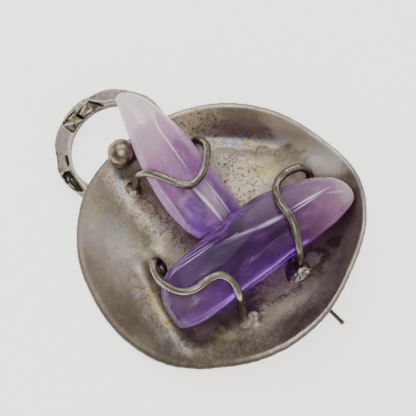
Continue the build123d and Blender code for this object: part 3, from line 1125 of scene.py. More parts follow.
        # Painted shade: the walls are painted dark, most on the inner wall, and the slanted face
        # and the
        # face's inner edge and a band near its outer edge are painted bright, partly polish.
        # sunk marks darker, partly patina in their hollows. Painted highlights: the raised marks,
        # the top
        slant = smooth_step(0.04, 0.16, edge - share) * smooth_step(99.0, 106.0, turn)
        dark = top * np.clip(sunk / 0.22 + 0.35 * slant - raised / 0.10, 0.0, 0.97)
        wall = (1 - top) * np.where(share < 0.3, np.where(turn < 152, 0.85, 0.5), 0.4)
        bright = raised / 0.09 + 0.7 * bell(share - edge, 0.04, 0.04)
        bright = bright + 0.45 * bell(share, 0.93, 0.05) * (sunk < 0.03)
        return points, np.maximum(dark, wall), np.clip(top * bright * 0.85, 0.0, 1.0)

    def build(self, material: Material) -> Object:
        """Makes the ring in its place, filed away where it meets the sheet.

        Args:
            material: Its finish.

        Returns:
            The ring.
        """
        piece = self.hoop()
        points, dark, brightened = self.work(vertices(piece))
        set_vertices(piece, points)
        # The painted shade is stored with the patina, and the painted highlights with the polish
        set_attributes(piece, deep=dark, worn=brightened, face=smooth_step(0.0, 0.6, points[:, 2]))
        points = swell(piece, points, 0.030 * ripple(points, 1.1, 4.0, 2))
        up = Vector(self.lean).normalized()
        ahead = Vector((self.lean[2], 0, -self.lean[0])).normalized()
        turned = points @ np.array([ahead, up.cross(ahead), up]) + np.array(self.centre)
        set_vertices(piece, PLATE.trim(turned, -1))
        return finish_piece(piece, material, 32.0)


# Ball, solder and claws


@dataclass
class Lump:
    """A ball or a bead of solder that has run out onto the sheet."""

    name: str
    place: tuple[float, float]
    radius: float
    rise: float
    spread: float = 1.0
    skirt: float = 0.0
    uneven: float = 0.04
    seed: float = 1.0
    blows: int = 14
    skirt_height: float = 0.18

    def build(self, material: Material) -> Object:
        """Makes the lump in its place on the sheet.

        Args:
            material: Its finish.

        Returns:
            The lump.
        """
        activate()
        bpy.ops.mesh.primitive_ico_sphere_add(subdivisions=5, radius=self.radius)
        piece = added(self.name)
        points = vertices(piece)
        for k in range(self.blows):
            turn, tilt = 2.4 * k + self.seed, math.asin(-0.2 + 1.15 * (k / self.blows))
            out = Vector((math.cos(turn) * math.cos(tilt), math.sin(turn) * math.cos(tilt),
                          math.sin(tilt)))
            points = press_flat(points, out * self.radius * (0.975 + 0.012 * math.sin(k)), out)
        points *= (1 + self.uneven * ripple(points, self.radius * 0.9, self.seed, 3))[:, None]
        base = PLATE.over(Vector((*self.place, 0)))
        points[:, :2] *= self.spread
        points = points + np.array(base) + np.array([0, 0, self.rise - self.radius])
        if self.skirt:
            above = points[:, 2] - PLATE.height(points[:, 0], points[:, 1])
            flare = 1 + self.skirt * np.exp(-np.maximum(above, 0) / self.skirt_height)
            middle = np.array(base)[:2]
            points[:, :2] = middle + (points[:, :2] - middle) * flare[:, None]
        set_vertices(piece, PLATE.trim(points, 1))
        return finish_piece(piece, material, 60.0)


@dataclass
class Claw:
    """A bent silver wire that holds a stone down."""

    name: str
    stone: StoneForm
    rows: tuple
    seed: float
    wire: float = 1.25
    gap: float = 0.16
    sink: float = 1.0

    def route(self) -> list[Vector]:
        """Centre line of the wire, in millimetres."""
        reach = self.wire / 2 + self.gap
        line = [self.stone.around(share, turn, reach + off * self.wire)
                for share, turn, off in self.rows]
        return [PLATE.over(line[0], -self.sink), *line[1:-1], PLATE.over(line[-1], -self.sink)]

    def build(self, material: Material) -> Object:
        """Makes the wire along its line, dented as by wear and a little uneven.

        Args:
            material: Its finish.

        Returns:
            The claw.
        """
        activate()
        bpy.ops.curve.primitive_nurbs_path_add(location=(0, 0, 0))
        piece = added(self.name)
        curve, line = piece.data, self.route()
        spline = curve.splines[0]
        spline.points.add(len(line) - len(spline.points))
        for k, (point, place) in enumerate(zip(spline.points, line)):
            point.co = (*place, 1.0)
            point.radius = 1.0 + 0.035 * math.sin(1.9 * k + self.seed)
        spline.order_u, spline.resolution_u, spline.use_endpoint_u = 3, 12, True
        curve.dimensions, curve.use_fill_caps = "3D", True
        curve.bevel_depth, curve.bevel_resolution = self.wire / 2, 6
        activate(piece)
        bpy.ops.object.convert(target="MESH")
        close_up(piece, 0.0005)
        points = vertices(piece)
        dents = 0.022 * ripple(points, 1.3, self.seed, 2)
        dents = dents + 0.012 * ripple(points, 0.5, self.seed + 5)
        set_vertices(piece, PLATE.trim(swell(piece, points, dents), 1))
        return finish_piece(piece, material, 60.0)


# Pin fittings


@dataclass
class PinFittings:
    """The hinge and catch behind the plate, and the pin's end."""

    wire: float = 0.65
    gap: float = 0.12
    height: float = 1.35
    start: tuple[float, float] = (-4.998, 10.202)
    end: tuple[float, float] = (17.706, -11.996)
    rivet: float = 0.8
    cheek: float = 0.7
    length: float = 2.6
    reach: float = 12.0
    cheek_round: float = 0.9
    tip: tuple[float, float] = (20.302, -14.79)
    tip_radius: float = 0.37
    tip_length: float = 0.85
    catch_back: float = 3.6
    catch_width: float = 1.8
    wall: float = 0.8
    lip: float = 1.1

    def placed(
        self, points: np.ndarray, start: Sequence[float], end: Sequence[float],
        place: Sequence[float], ahead: float = 0.0, height: float = 0.0,
    ) -> np.ndarray:
        """Turns points from along, left and up into the frame.

        Args:
            points: Rows of along, left, up.
            start: Where a line in the plan starts that gives the direction along.
            end: Where it ends.
            place: Place of the points' origin in the plan.
            ahead: How far past that place the origin lies along the line.
            height: The origin's height.

        Returns:
            Rows of x, y, z.
        """
        along = Vector((end[0] - start[0], end[1] - start[1], 0)).normalized()
        left = Vector((-along.y, along.x, 0))
        origin = Vector((*place, height)) + along * ahead
        return points @ np.array([along, left, Vector((0, 0, 1))]) + np.array(origin)

    def hinge(self, material: Material) -> None:
        """Makes both cheeks and the rivet, with an inset ring on each of its ends."""
        gap = self.wire + 2 * self.gap
        for name, side in (("hinge_cheek_left", 1), ("hinge_cheek_right", -1)):
            activate()
            bpy.ops.mesh.primitive_cube_add(size=1)
            piece = added(name)
            with editing(piece, whole=True):
                bpy.ops.transform.resize(
                    value=(self.length, self.cheek, self.reach), center_override=(0, 0, 0)
                )
                bpy.ops.mesh.bisect(plane_co=(0, 0, 0), plane_no=(0, 0, 1))
            with editing(piece, "EDGE") as mesh:
                pick(mesh, mesh.edges, lambda e: all(v.co.z < -5 for v in e.verts)
                     and abs(e.verts[0].co.x - e.verts[1].co.x) < 0.1)
                bpy.ops.mesh.bevel(offset=self.cheek_round, segments=5, affect="EDGES")
            bevelled(piece, 0.1, 2)
            points = vertices(piece)
            points[:, 2] += self.reach / 2
            points[:, 1] += side * (gap + self.cheek) / 2
            points = self.placed(points, self.start, self.end, self.start)
            set_vertices(piece, PLATE.trim(points, -1))
            finish_piece(piece, material)
        activate()
        bpy.ops.mesh.primitive_cylinder_add(
            vertices=32, radius=self.rivet / 2, depth=gap + 2 * self.cheek,
            rotation=(math.pi / 2, 0, 0),
        )
        piece = added("hinge_rivet")
        with editing(piece) as mesh:
            pick(mesh, mesh.faces, lambda f: abs(f.normal.y) > 0.9)
            bpy.ops.mesh.inset(thickness=0.1)
        bevelled(piece, 0.07, 3)
        points = vertices(piece)
        points = self.placed(points, self.start, self.end, self.start, height=self.height)
        set_vertices(piece, points)
        finish_piece(piece, material)

    def catch(self, material: Material) -> None:
        """Makes the hook that the pin's end lies in, from a strip bent to a J."""
        slot = self.wire / 2 + self.gap
        profile = (
            (slot + self.wall, 0), (slot + self.wall, self.reach), (slot, self.reach),
            (slot, self.height - slot), (-slot, self.height - slot), (-slot, self.lip),
            (-slot - self.wall / 2, self.lip), (-slot - self.wall, 0),
        )
        activate()
        bpy.ops.mesh.primitive_circle_add(vertices=len(profile), radius=1, fill_type="NGON")
        piece = added("pin_catch")
        order = sorted(piece.data.vertices, key=lambda v: math.atan2(v.co.y, v.co.x))
        for vertex, (side, up) in zip(order, profile):
            vertex.co = (-self.catch_width / 2, side, up)
        with editing(piece, whole=True):
            bpy.ops.mesh.extrude_region_move(
                TRANSFORM_OT_translate={"value": (self.catch_width, 0, 0)}
            )
        close_up(piece)
        with editing(piece, whole=True):
            bpy.ops.mesh.quads_convert_to_tris()
        bevelled(piece, 0.12, 3)
        points = vertices(piece)
        points = self.placed(points, self.start, self.end, self.end, -self.catch_back)
        set_vertices(piece, PLATE.trim(points, -1))
        finish_piece(piece, material)

    def pin_end(self, material: Material) -> None:
        """Makes the blunt, slightly thicker end of the pin."""
        activate()
        bpy.ops.mesh.primitive_cylinder_add(
            vertices=24, radius=self.tip_radius, depth=self.tip_length,
            rotation=(0, math.pi / 2, 0),
        )
        piece = added("pin_end")
        bevelled(piece, 0.12, 3)
        points = vertices(piece)
        points *= (1 + 0.08 * ripple(points, 0.6, 9.0))[:, None]
        back = -self.tip_length / 2
        set_vertices(piece, self.placed(points, self.end, self.tip, self.tip, back, self.height))
        finish_piece(piece, material, nodes=())

    def build(self, material: Material, steel: Material, bright: Material) -> None:
        """Makes the fittings and dresses the pin.

        Args:
            material: Finish of the hinge and the catch.
            steel: Finish of the pin.
            bright: Finish of the pin's end.
        """
        self.hinge(material)
        self.catch(material)
        self.pin_end(bright)
        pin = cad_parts["pin"]
        pin.data.materials.clear()
        pin.data.materials.append(steel)


# Stones


@dataclass
class Stone:
    """One polished amethyst point, faceted by nature and rounded by tumbling."""

    name: str
    form: StoneForm
    node: str
    slot: str
    seed: float = 1.0
    flat_steps: int = 12
    rows: int = 110
    round_passes: int = 3
    length_passes: int = 9
    cap: float = 0.55

    def blank(self, around: int) -> Object:
        """Makes a fine prism of some sides, cut into many rows along its length."""
        activate()
        bpy.ops.mesh.primitive_cylinder_add(
            vertices=around, radius=1, depth=1, location=(0, 0, 0.5)
        )
        piece = added(self.name)
        with editing(piece, "EDGE") as mesh:
            pick(mesh, mesh.edges, lambda e: abs(e.verts[0].co.z - e.verts[1].co.z) > 0.5)
            bpy.ops.mesh.subdivide(number_cuts=self.rows - 1)
        with editing(piece) as mesh:
            pick(mesh, mesh.faces, lambda f: len(f.verts) > 4)
            bpy.ops.mesh.poke()
        return piece

    def skin(self) -> np.ndarray:
        """Works out the stone's surface: points by row and by place round the section."""
        form = self.form
        levels = np.arange(self.rows + 1) / self.rows
        first, last = form.sections[0][0], form.sections[-1][0]
        eased = 0.55 * levels + 0.45 * (0.5 - 0.5 * np.cos(np.pi * levels))
        shares = first + (last - first) * eased
        table = np.array(form.ridges)
        flat = np.empty((len(levels), (table.shape[1] - 1) * self.flat_steps, 2))
        for row, share in enumerate(shares):
            half, shift, tall, lift = form.section(share)
            turns = np.radians([np.interp(share, table[:, 0], line) for line in table.T[1:]])
            corners = np.stack([half * np.cos(turns), tall * np.sin(turns)], 1)
            ring = [
                a + (b - a) * t
                for a, b in zip(corners, np.roll(corners, -1, axis=0))
                for t in np.arange(self.flat_steps)[:, None] / self.flat_steps
            ]
            flat[row] = np.array(ring) + (shift, lift)
        for _ in range(self.round_passes):
            flat = (np.roll(flat, 1, axis=1) + 2 * flat + np.roll(flat, -1, axis=1)) / 4
        for _ in range(self.length_passes):
            flat[1:-1] = (flat[:-2] + 2 * flat[1:-1] + flat[2:]) / 4
        middle = flat.mean(axis=1, keepdims=True)
        for end in (first, last):
            near = np.clip(np.abs(shares - end) * form.length / self.cap, 0.0, 1.0)
            shrink = np.sqrt(np.clip(1 - (1 - near) ** 2, 0.0, 1.0)) * 0.97 + 0.03
            flat = middle + (flat - middle) * shrink[:, None, None]
        along, left, up = (np.array(axis) for axis in form.axes)
        line = np.array(form.start) + np.outer(shares * form.length, along)
        return line[:, None] + flat[..., :1] * left + flat[..., 1:] * up

    def build(self, material: Material) -> Object:
        """Makes the stone in its place.

        Args:
            material: Its finish.

        Returns:
            The stone.
        """
        form, skin = self.form, self.skin()
        around = skin.shape[1]
        piece = self.blank(around)
        points = vertices(piece)
        levels = np.round(points[:, 2] * self.rows).astype(int)
        turn = np.arctan2(points[:, 1], points[:, 0]) / (2 * math.pi) * around
        moved = skin[levels, np.round(turn - turn[0]).astype(int) % around]
        centres = np.hypot(points[:, 0], points[:, 1]) < 0.5
        moved[centres] = skin[levels[centres]].mean(axis=1)
        set_vertices(piece, moved)
        along, left, up = (np.array(axis) for axis in form.axes)
        away = moved - np.array(form.start)
        share = away @ along / form.length
        half, shift, tall, lift = np.array([form.section(value) for value in share]).T
        turns = np.degrees(np.arctan2((away @ up - lift) / tall, (away @ left - shift) / half))
        push = 0.03 * ripple(moved, 3.8, self.seed)
        for where, turn_at, spread, wide, depth in form.dents:
            gap = (turns - turn_at + 180) % 360 - 180
            push = push - depth * np.exp(-(((share - where) / spread) ** 2) - (gap / wide) ** 2)
        set_vertices(piece, swell(piece, moved, push))
        # The upper side, to which the painted ridge highlights are kept
        set_attributes(piece, upper=smooth_step(0.0, 0.3, np.sin(np.radians(turns))))
        close_up(piece)
        return finish_piece(piece, material, 60.0, (self.node,))


# Studio


@dataclass(frozen=True)
class Lamp:
    """A soft box over the table: direction from the brooch, and distance and size in metres."""

    name: str
    toward: tuple[float, float, float]
    distance: float
    size: tuple[float, float]
    radiance: float
    along: tuple[float, float, float] = (1.0, 0.0, 0.0)
    tint: str = "#ffffff"

    def build(self) -> None:
        """Hangs the lamp, facing the brooch, its long side along the given direction."""
        light = bpy.data.lights.new(self.name, "AREA")
        light.shape = "RECTANGLE"
        light.size, light.size_y = self.size
        light.energy = self.radiance * math.pi * self.size[0] * self.size[1]
        light.color = linear(self.tint)[:3]
        holder = bpy.data.objects.new(self.name, light)
        bpy.context.scene.collection.objects.link(holder)
        toward = Vector(self.toward).normalized()
        across = toward.cross(Vector(self.along)).normalized()
        turn = Matrix((across.cross(toward), across, toward)).transposed()
        holder.matrix_world = Matrix.Translation(toward * self.distance) @ turn.to_4x4()
        holder.visible_camera = False


@dataclass
class Studio:
    """Pale floor, soft boxes and the camera."""

    aim: tuple[float, float, float] = (-0.00037, 0.00246, 0.006)
    elevation: float = 66.0
    distance: float = 0.9
    view_width: float = 0.0637
    sensor: float = 36.0
    world: str = "#e8e4de"
    world_strength: float = 0.72
    floor: str = "#f4f4f2"
    floor_glow: float = 1.8
    lamps: tuple[Lamp, ...] = (
        Lamp("key_lamp", (0.03, 0.49, 0.87), 0.6, (0.26, 0.035), 18.0, tint="#fffdf8"),
        Lamp("front_lamp", (0.48, -0.22, 0.85), 0.6, (0.30, 0.03), 3.0, (0.53, -0.64, -0.55)),
        Lamp("back_lamp", (0.0, 0.66, 0.75), 0.6, (0.16, 0.012), 26.0, (0.0, 0.75, -0.66)),
        Lamp("left_lamp", (-0.45, 0.82, 0.34), 0.6, (0.12, 0.012), 18.0, (0.05, 0.3, -0.6)),
        Lamp("sky_panel", (-0.16, 0.80, 0.60), 0.8, (0.36, 0.24), 1.8, tint="#fbfbff"),
        Lamp("soft_panel", (-0.42, 0.40, 0.82), 0.8, (0.50, 0.60), 1.35),
        Lamp("top_lamp", (-0.05, -0.36, 0.93), 0.8, (0.36, 0.32), 5.0, tint="#fff8ea"),
        Lamp("front_panel", (0.0, -0.62, 0.78), 0.8, (0.60, 0.40), 0.7),
    )

    def build(self) -> None:
        """Makes the floor, the lights and the camera."""
        activate()
        bpy.ops.mesh.primitive_circle_add(vertices=96, radius=1.6, fill_type="NGON")
        floor = added("floor")
        material, node = new_material("light_table")
        surface = node(
            "ShaderNodeBsdfPrincipled",
            {"Base Color": linear(self.floor), "Roughness": 0.9,
             "Emission Color": linear(self.floor), "Emission Strength": self.floor_glow},
        )
        node("ShaderNodeOutputMaterial", {"Surface": surface})
        floor.data.materials.append(material)
        for lamp in self.lamps:
            lamp.build()
        world = bpy.data.worlds.new("studio_world")
        world.use_nodes = True
        back = world.node_tree.nodes["Background"]
        back.inputs["Color"].default_value = linear(self.world)
        back.inputs["Strength"].default_value = self.world_strength
        bpy.context.scene.world = world
        self.camera()

    def camera(self) -> None:
        """Stands the camera at the photograph's angle, far off with a long lens."""
        data = bpy.data.cameras.new("camera")
        data.sensor_width = self.sensor
        data.lens = self.sensor * self.distance / self.view_width
        tilt = math.radians(self.elevation)
        back = Vector((0.0, -math.cos(tilt), math.sin(tilt)))
        holder = bpy.data.objects.new("camera", data)
        bpy.context.scene.collection.objects.link(holder)
        holder.location = Vector(self.aim) + back * self.distance
        holder.rotation_euler = (-back).to_track_quat("-Z", "Y").to_euler()
        bpy.context.scene.camera = holder


# Patches on the sheet, laid in order: x, y, half width and half height in millimetres on the
# plan, turn in degrees, colour, then the rest of a Patch
SHEET_PATCHES = patches((
    # Left lobe
    (-17.0, -2.0, 5.0, 9.0, 10.0, "#dacdbd", 0.85, 0.5),
    # A pale pink band, partly tint and partly painted light along a swell of the lobe
    (-14.8, -4.5, 8.5, 1.8, -52.0, "#eadeda", 0.8, 0.6),
    (-14.4, -1.0, 4.2, 1.0, -60.0, "#bcc4c6", 0.65, 0.6),
    (-17.6, -8.5, 7.0, 1.5, -62.0, "#a0968a", 0.6, 0.6, 1.0),
    (-11.8, -16.0, 5.5, 3.0, -48.0, "#8a8072", 0.7, 0.5, 1.0),
    # Brown hollow beside the upper stone, specked with black
    # Painted light: the pale brown is made lighter where the upper stone shades it
    (-7.5, 1.5, 5.5, 2.8, -50.0, "#a89484", 0.8, 0.5, 1.5),
    # Painted shadow of the upper stone, dark olive
    (-12.6, 8.5, 3.0, 2.2, -50.0, "#6f665a", 0.75, 0.5),
    # Painted shadow: a thin dark line along the upper stone's edge
    (-10.0, 4.2, 7.6, 0.45, -49.0, "#3c3629", 0.8, 0.4, 3.5),
    # Two crests: cream painted highlights along them, and thin bright tarnish in blue, yellow and
    # green
    (-10.9, 3.0, 8.2, 0.9, -48.0, "#f6f0de", 0.9, 0.35, 3.5),
    (-10.9, 3.0, 8.5, 1.2, -48.0, Tone.FILM, 0.8, 0.3, 2.5, 1.05),
    (-14.0, 7.2, 3.0, 0.8, -48.0, "#d4e4f8", 0.7, 0.4, 2.5),
    (-9.4, 1.2, 2.2, 0.6, -48.0, "#a8ac6c", 0.6, 0.4, 2.5),
    (-7.6, -14.4, 6.8, 1.0, -52.0, "#fbf0c8", 0.9, 0.4, 2.5),
    (-6.4, -4.2, 2.8, 1.3, -45.0, "#fff6dc", 0.9, 0.4, 2.5),
    (-7.4, -14.6, 7.0, 1.3, -52.0, Tone.FILM, 0.75, 0.3, 2.5, 1.05),
    (-6.2, -18.4, 3.4, 1.2, -50.0, "#c2c4c2", 0.75, 0.5, 1.5),
    (-6.6, -15.8, 3.4, 0.8, -50.0, "#f4dc78", 0.8, 0.5, 2.5, 0.9),
    # Bottom: the near wall painted dark as shade, with grey, film and straw tarnish on it
    (2.0, -20.3, 10.5, 2.9, 3.0, "#342d28", 0.94, 0.5),
    (-4.0, -19.4, 2.4, 1.3, -20.0, "#a2a8ae", 0.6, 0.5, 1.5),
    (0.0, -17.2, 3.0, 1.0, -10.0, Tone.FILM, 0.5, 0.5, 2.5),
    (2.3, -18.2, 2.2, 0.8, 8.0, "#b8a662", 0.5, 0.5, 3.5, 0.6),
    # Dark wall along the lower right, with mauve patches edged in black
    (16.5, -9.5, 11.5, 4.0, 58.0, "#cdbdb0", 0.85, 0.4),
    (12.0, -17.2, 5.4, 2.4, 32.0, "#4c443e", 0.9, 0.5, 1.5),
    (10.8, -9.2, 5.0, 2.9, 36.0, "#2a2422", 0.9, 0.2, 1.5),
    (10.8, -9.0, 4.3, 2.2, 36.0, "#ccb0ae", 0.95, 0.08, 1.2),
    (15.0, -6.6, 2.9, 1.9, 30.0, "#2a2422", 0.9, 0.2, 1.5),
    (14.6, -6.9, 2.3, 1.4, 30.0, "#c8acac", 0.95, 0.08, 1.2),
    # Painted shadow of the lower stone: two dark spots beside its lower edge
    (7.0, -10.4, 1.9, 0.9, 40.0, "#322c2a", 0.85, 0.3),
    (19.0, -3.7, 1.3, 1.0, 30.0, "#322c2a", 0.8, 0.3),
    (20.7, 1.5, 1.7, 4.5, -8.0, "#8a7884", 0.75, 0.5),
    # Dark wall under the top edge
    (4.5, 15.9, 9.5, 2.2, -4.0, "#c2b398", 0.9, 0.4),
    (-3.2, 16.2, 3.8, 2.2, 15.0, "#ffe6a8", 0.92, 0.4, 2.0),
    (12.4, 14.0, 4.8, 1.6, -24.0, "#fff0d2", 0.95, 0.5),
    # Crease under it: a painted highlight as a bright line, with thin blue and rose tarnish at its
    # left end
    (5.5, 13.6, 8.5, 0.6, -3.0, "#fffaf0", 0.95, 0.35, 2.0),
    (2.0, 13.9, 5.8, 1.1, -6.0, Tone.FILM, 0.95, 0.3, 2.0, 0.95),
    # Field between the stones: cream painted highlight, a pale corner painted light, a slope
    # painted dark
    # Painted shade: darkened so that the slope doesn't catch the key lamp's reflection
    (10.6, 10.9, 4.8, 1.6, -10.0, "#544e42", 0.9, 0.5),
    # Painted light on the pale right corner
    (17.9, 9.8, 3.0, 2.4, -30.0, "#f8f2ec", 0.95, 0.5),
    # Cream, partly pale bare silver and partly painted highlight
    (4.0, 8.0, 4.6, 5.4, 25.0, "#fdf4e8", 0.95, 0.4, 2.0),
    (8.2, 6.6, 3.4, 1.6, 10.0, "#c2beb0", 0.7, 0.5, 1.5),
    (4.6, 11.5, 5.4, 1.3, -6.0, "#857a60", 0.85, 0.4, 2.0),
    (3.4, 10.6, 1.6, 0.9, 20.0, "#5c5244", 0.8, 0.4, 2.5),
    (6.9, 8.9, 3.6, 1.5, -6.0, "#ffe896", 1.0, 0.4, 1.5),
    (5.2, 4.6, 1.4, 0.7, 10.0, "#9a8f84", 0.7, 0.3, 2.0),
    (6.5, 6.5, 3.5, 2.5, 25.0, Tone.FILM, 0.5, 0.3, 4.0, 0.3),
    (19.0, 9.7, 1.7, 0.22, -38.0, "#ece8e4", 0.7, 0.5, 1.0),
    # A breath of colour over the far and left side of it
    (-6.0, 7.0, 17.0, 15.0, -20.0, Tone.FILM, 0.16, 0.5, 3.0),
))

# Where the sheet is pitted, and how strongly
PITTED = patches((
    (3.0, 7.2, 4.6, 4.4, 25.0, 1.0, 0.4), (-2.6, 15.2, 5.0, 2.4, 5.0, 0.85, 0.4),
    (7.6, 9.0, 4.6, 2.4, -6.0, 0.25, 0.4), (-10.6, 2.6, 8.2, 2.2, -50.0, 0.7, 0.4),
    (-6.2, -1.0, 5.0, 2.4, -50.0, 0.6, 0.4), (-7.4, -14.6, 7.2, 2.0, -50.0, 0.5, 0.4),
    (10.8, -9.0, 6.5, 3.2, 36.0, 0.35, 0.4), (3.0, -19.4, 8.0, 2.8, 3.0, 0.09, 0.4),
    (16.5, -11.0, 9.0, 2.4, 50.0, 0.06, 0.4),
), WHITE)

# Where tarnish has grown to a dull crust, and how thick it is
CRUSTED = patches((
    (-7.2, 1.6, 5.2, 2.4, -50.0, 0.7, 0.5), (17.9, 9.8, 3.4, 2.6, -30.0, 0.6, 0.5),
    (-3.0, 16.0, 4.2, 2.4, 10.0, 0.25, 0.4), (12.8, 13.8, 4.8, 1.6, -24.0, 0.4, 0.4),
    (10.8, -9.0, 4.5, 2.3, 36.0, 0.22, 0.2), (14.6, -6.9, 2.4, 1.5, 30.0, 0.35, 0.2),
), WHITE)

# The ring's upper face: brown tarnish in the chiselled part, lilac-grey on the flats
RING_PATCHES = patches((
    (-20.4, 19.3, 3.2, 1.5, 40.0, "#7c6240", 0.8, 0.3, 1.5),
    (-18.6, 20.0, 1.0, 0.6, 30.0, "#c09a5c", 0.8, 0.4, 1.5),
    (-20.9, 18.3, 1.1, 0.6, 45.0, "#b8935a", 0.7, 0.4, 1.5),
    (-22.8, 14.6, 1.4, 3.0, 5.0, "#a8a0a8", 0.7, 0.5, 1.5),
    (-16.4, 21.8, 2.6, 1.0, 15.0, "#a29aa0", 0.7, 0.5, 1.5),
))
RING_PITTED = patches((
    (-20.4, 19.3, 3.4, 2.2, 40.0, 0.6, 0.3), (-22.6, 11.6, 1.4, 1.8, 0.0, 0.5, 0.3),
    (-16.4, 21.8, 3.0, 1.6, 15.0, 0.3, 0.3),
), WHITE)


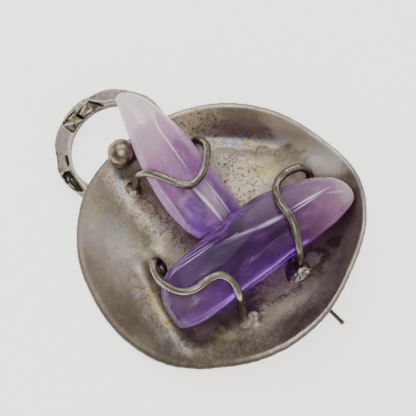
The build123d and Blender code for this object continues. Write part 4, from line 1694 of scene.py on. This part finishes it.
def main() -> None:
    """Builds the brooch and its studio."""
    logging.basicConfig(level=logging.INFO, format="%(name)s: %(message)s")
    Studio().build()
    silver = OxidisedSilver("oxidised_silver_sheet").build(SHEET_PATCHES, PITTED, CRUSTED)
    ring_silver = OxidisedSilver(
        "oxidised_silver_ring", grey="#d4ccc2", bright="#f6f0e6", tarnish=0.36
    ).build(RING_PATCHES, RING_PITTED)
    wire_silver = OxidisedSilver(
        "oxidised_silver_wire", grey="#bab2a6", dark="#4a4339", bright="#fbf6ee",
        roughness=0.22, tarnish=0.4,
    ).build()
    solder_silver = OxidisedSilver(
        "silver_solder", grey="#b5b0a8", dark="#5a5248", bright="#f6f2ea", tarnish=0.4
    ).build()
    ball_silver = OxidisedSilver(
        "oxidised_silver_ball", grey="#c8bcaa", dark="#524638", bright="#eee4d4", tarnish=0.5,
        roughness=0.30,
    ).build()
    steel = OxidisedSilver("pin_wire_metal", grey="#8a857d", dark="#5a544c").build()
    Plate().build(silver)
    PendantRing().build(ring_silver)
    Lump("ball", (-13.6, 10.994), 2.25, 4.0, seed=2.0).build(ball_silver)
    Lump("solder_upper", (-11.84, 5.89), 1.25, 0.55, skirt=0.25, uneven=0.12).build(wire_silver)
    Lump("solder_right", (13.94, -7.64), 1.3, 0.42, 1.3, skirt=0.5, uneven=0.3, seed=4.0).build(
        wire_silver
    )
    Lump("solder_lower", (6.9, -15.3), 1.3, 0.45, 1.45, skirt=0.4, uneven=0.24, seed=7.0).build(
        solder_silver
    )
    Claw("claw_upper", UPPER_STONE, CLAW_UPPER, seed=1.0).build(wire_silver)
    Claw("claw_right", LOWER_STONE, CLAW_RIGHT, seed=2.0).build(wire_silver)
    Claw("claw_lower", LOWER_STONE, CLAW_LOWER, seed=3.0).build(wire_silver)
    PinFittings().build(wire_silver, steel, ball_silver)
    pale = Amethyst(
        "polished_amethyst_pale", UPPER_STONE,
        ((0.0, "#fff6fa", 0.26), (0.14, "#feeaf4", 0.36), (0.30, "#fad0f0", 0.56),
         (0.48, "#f4b8f0", 0.68), (0.66, "#f0b6fa", 0.72), (0.82, "#e2aafe", 0.76),
         (1.0, "#c488fa", 0.82)),
        patches((
            (2.6, 0.2, 2.8, 1.0, 0.0, "#fdf6f6", 0.6),
            (8.0, -1.9, 4.5, 0.8, -4.0, "#f6e8f2", 0.55),
            (5.0, 1.5, 3.0, 0.8, 4.0, "#d2c4d6", 0.35),
            (14.5, 1.2, 4.0, 1.5, -6.0, "#a86cb8", 0.65),
            (18.5, -4.5, 8.0, 1.0, 0.0, "#b478c4", 0.6),
            (21.2, -2.0, 2.8, 1.0, 10.0, "#5c3078", 0.85),
            (22.8, -3.1, 3.0, 1.1, 4.0, "#b45cfa", 0.95),
            # Stripes of painted reflection near the end: white, dark and lilac
            (22.8, 0.6, 3.2, 0.8, 6.0, "#fdf4ff", 0.9), (22.8, 2.5, 3.6, 0.8, 2.0, "#7c5c98", 0.6),
            (21.6, 3.9, 4.4, 0.5, 0.0, "#d4b0e4", 0.7),
        )),
        # Thin whitish painted highlights along the ridges, partly frosting
        patches((
            (6.2, 1.55, 3.3, 0.12, -12.8, 0.8, 0.5, 0.3),
            (7.1, 1.55, 2.7, 0.1, -22.0, 0.7, 0.5, 0.3),
            (12.6, 0.55, 3.9, 0.14, -4.7, 0.55, 0.5, 0.3),
            (22.7, -0.42, 3.0, 0.24, 8.0, 0.8, 0.5, 0.3),
            (22.7, 1.6, 2.9, 0.13, 4.0, 0.5, 0.5, 0.3),
            (21.4, 4.25, 4.0, 0.14, 0.0, 0.4, 0.5, 0.3),
            (20.6, -4.75, 4.4, 0.14, -2.0, 0.2, 0.5, 0.3),
        ), WHITE),
    ).build()
    deep = Amethyst(
        "polished_amethyst_deep", LOWER_STONE,
        ((0.0, "#ac7cc4", 0.80), (0.14, "#9c62b8", 0.86), (0.26, "#9250ba", 0.92),
         (0.42, "#8640a8", 0.95), (0.56, "#8640ac", 0.95), (0.68, "#a45ebc", 0.92),
         (0.80, "#c08ac4", 0.84), (0.93, "#e4b4dc", 0.68), (1.0, "#f6dcf0", 0.56)),
        patches((
            (0.2, -1.5, 0.9, 5.0, 0.0, "#5a3474", 0.9), (4.6, -2.4, 3.4, 1.5, 0.0, "#c8a0d4", 0.6),
            (16.0, -4.5, 8.5, 1.2, 0.0, "#8c48bc", 0.8),
            (19.6, -3.8, 3.8, 0.9, 4.0, "#9038ec", 0.9),
            (21.4, -1.0, 3.0, 1.0, 0.0, "#3c1a58", 0.6),
            # The second of these is a painted grey reflection over the top facet
            (13.8, 0.4, 4.6, 2.0, 0.0, "#8a64b0", 0.5), (20.5, 4.0, 7.0, 1.7, 0.0, "#8c769c", 0.5),
            # A painted highlight on the round end
            (32.6, 0.4, 1.3, 2.2, 0.0, "#f8ecf8", 0.6),
        )),
        # Thin whitish painted highlights along the ridges, partly frosting, then a faint painted
        # sheen over the top facet
        patches((
            (17.4, 1.35, 4.6, 0.34, -8.0, 0.32, 0.9, 0.3),
            (20.7, 0.95, 1.8, 0.34, -3.0, 0.55, 0.9, 0.3),
            (15.6, 1.75, 2.6, 0.12, -14.0, 0.3, 0.5, 0.3),
            (27.6, 1.28, 3.0, 0.15, 2.0, 0.8, 0.6, 0.3),
            (26.6, 0.75, 2.4, 0.11, 6.0, 0.6, 0.6, 0.3),
            (31.6, 0.2, 1.6, 0.12, -20.0, 0.4, 0.6, 0.3),
            (7.6, 2.7, 3.2, 0.11, 3.0, 0.6, 0.6, 0.3), (8.6, 3.3, 3.4, 0.1, -2.0, 0.45, 0.6, 0.3),
            (8.0, 4.0, 3.0, 0.1, -1.0, 0.42, 0.6, 0.3),
            (17.6, -2.1, 2.8, 0.12, 8.0, 0.1, 0.5, 0.3),
            (21.0, 4.3, 7.0, 1.5, 0.0, 0.13, 0.8, 0.3),
        ), WHITE), milk=0.06, polish=0.45,
    ).build()
    Stone("stone_upper_polished", UPPER_STONE, "stone_upper", "amethyst_pale").build(pale)
    Stone("stone_lower_polished", LOWER_STONE, "stone_lower", "amethyst_deep", seed=5.0).build(deep)


if __name__ == "__main__":
    main()
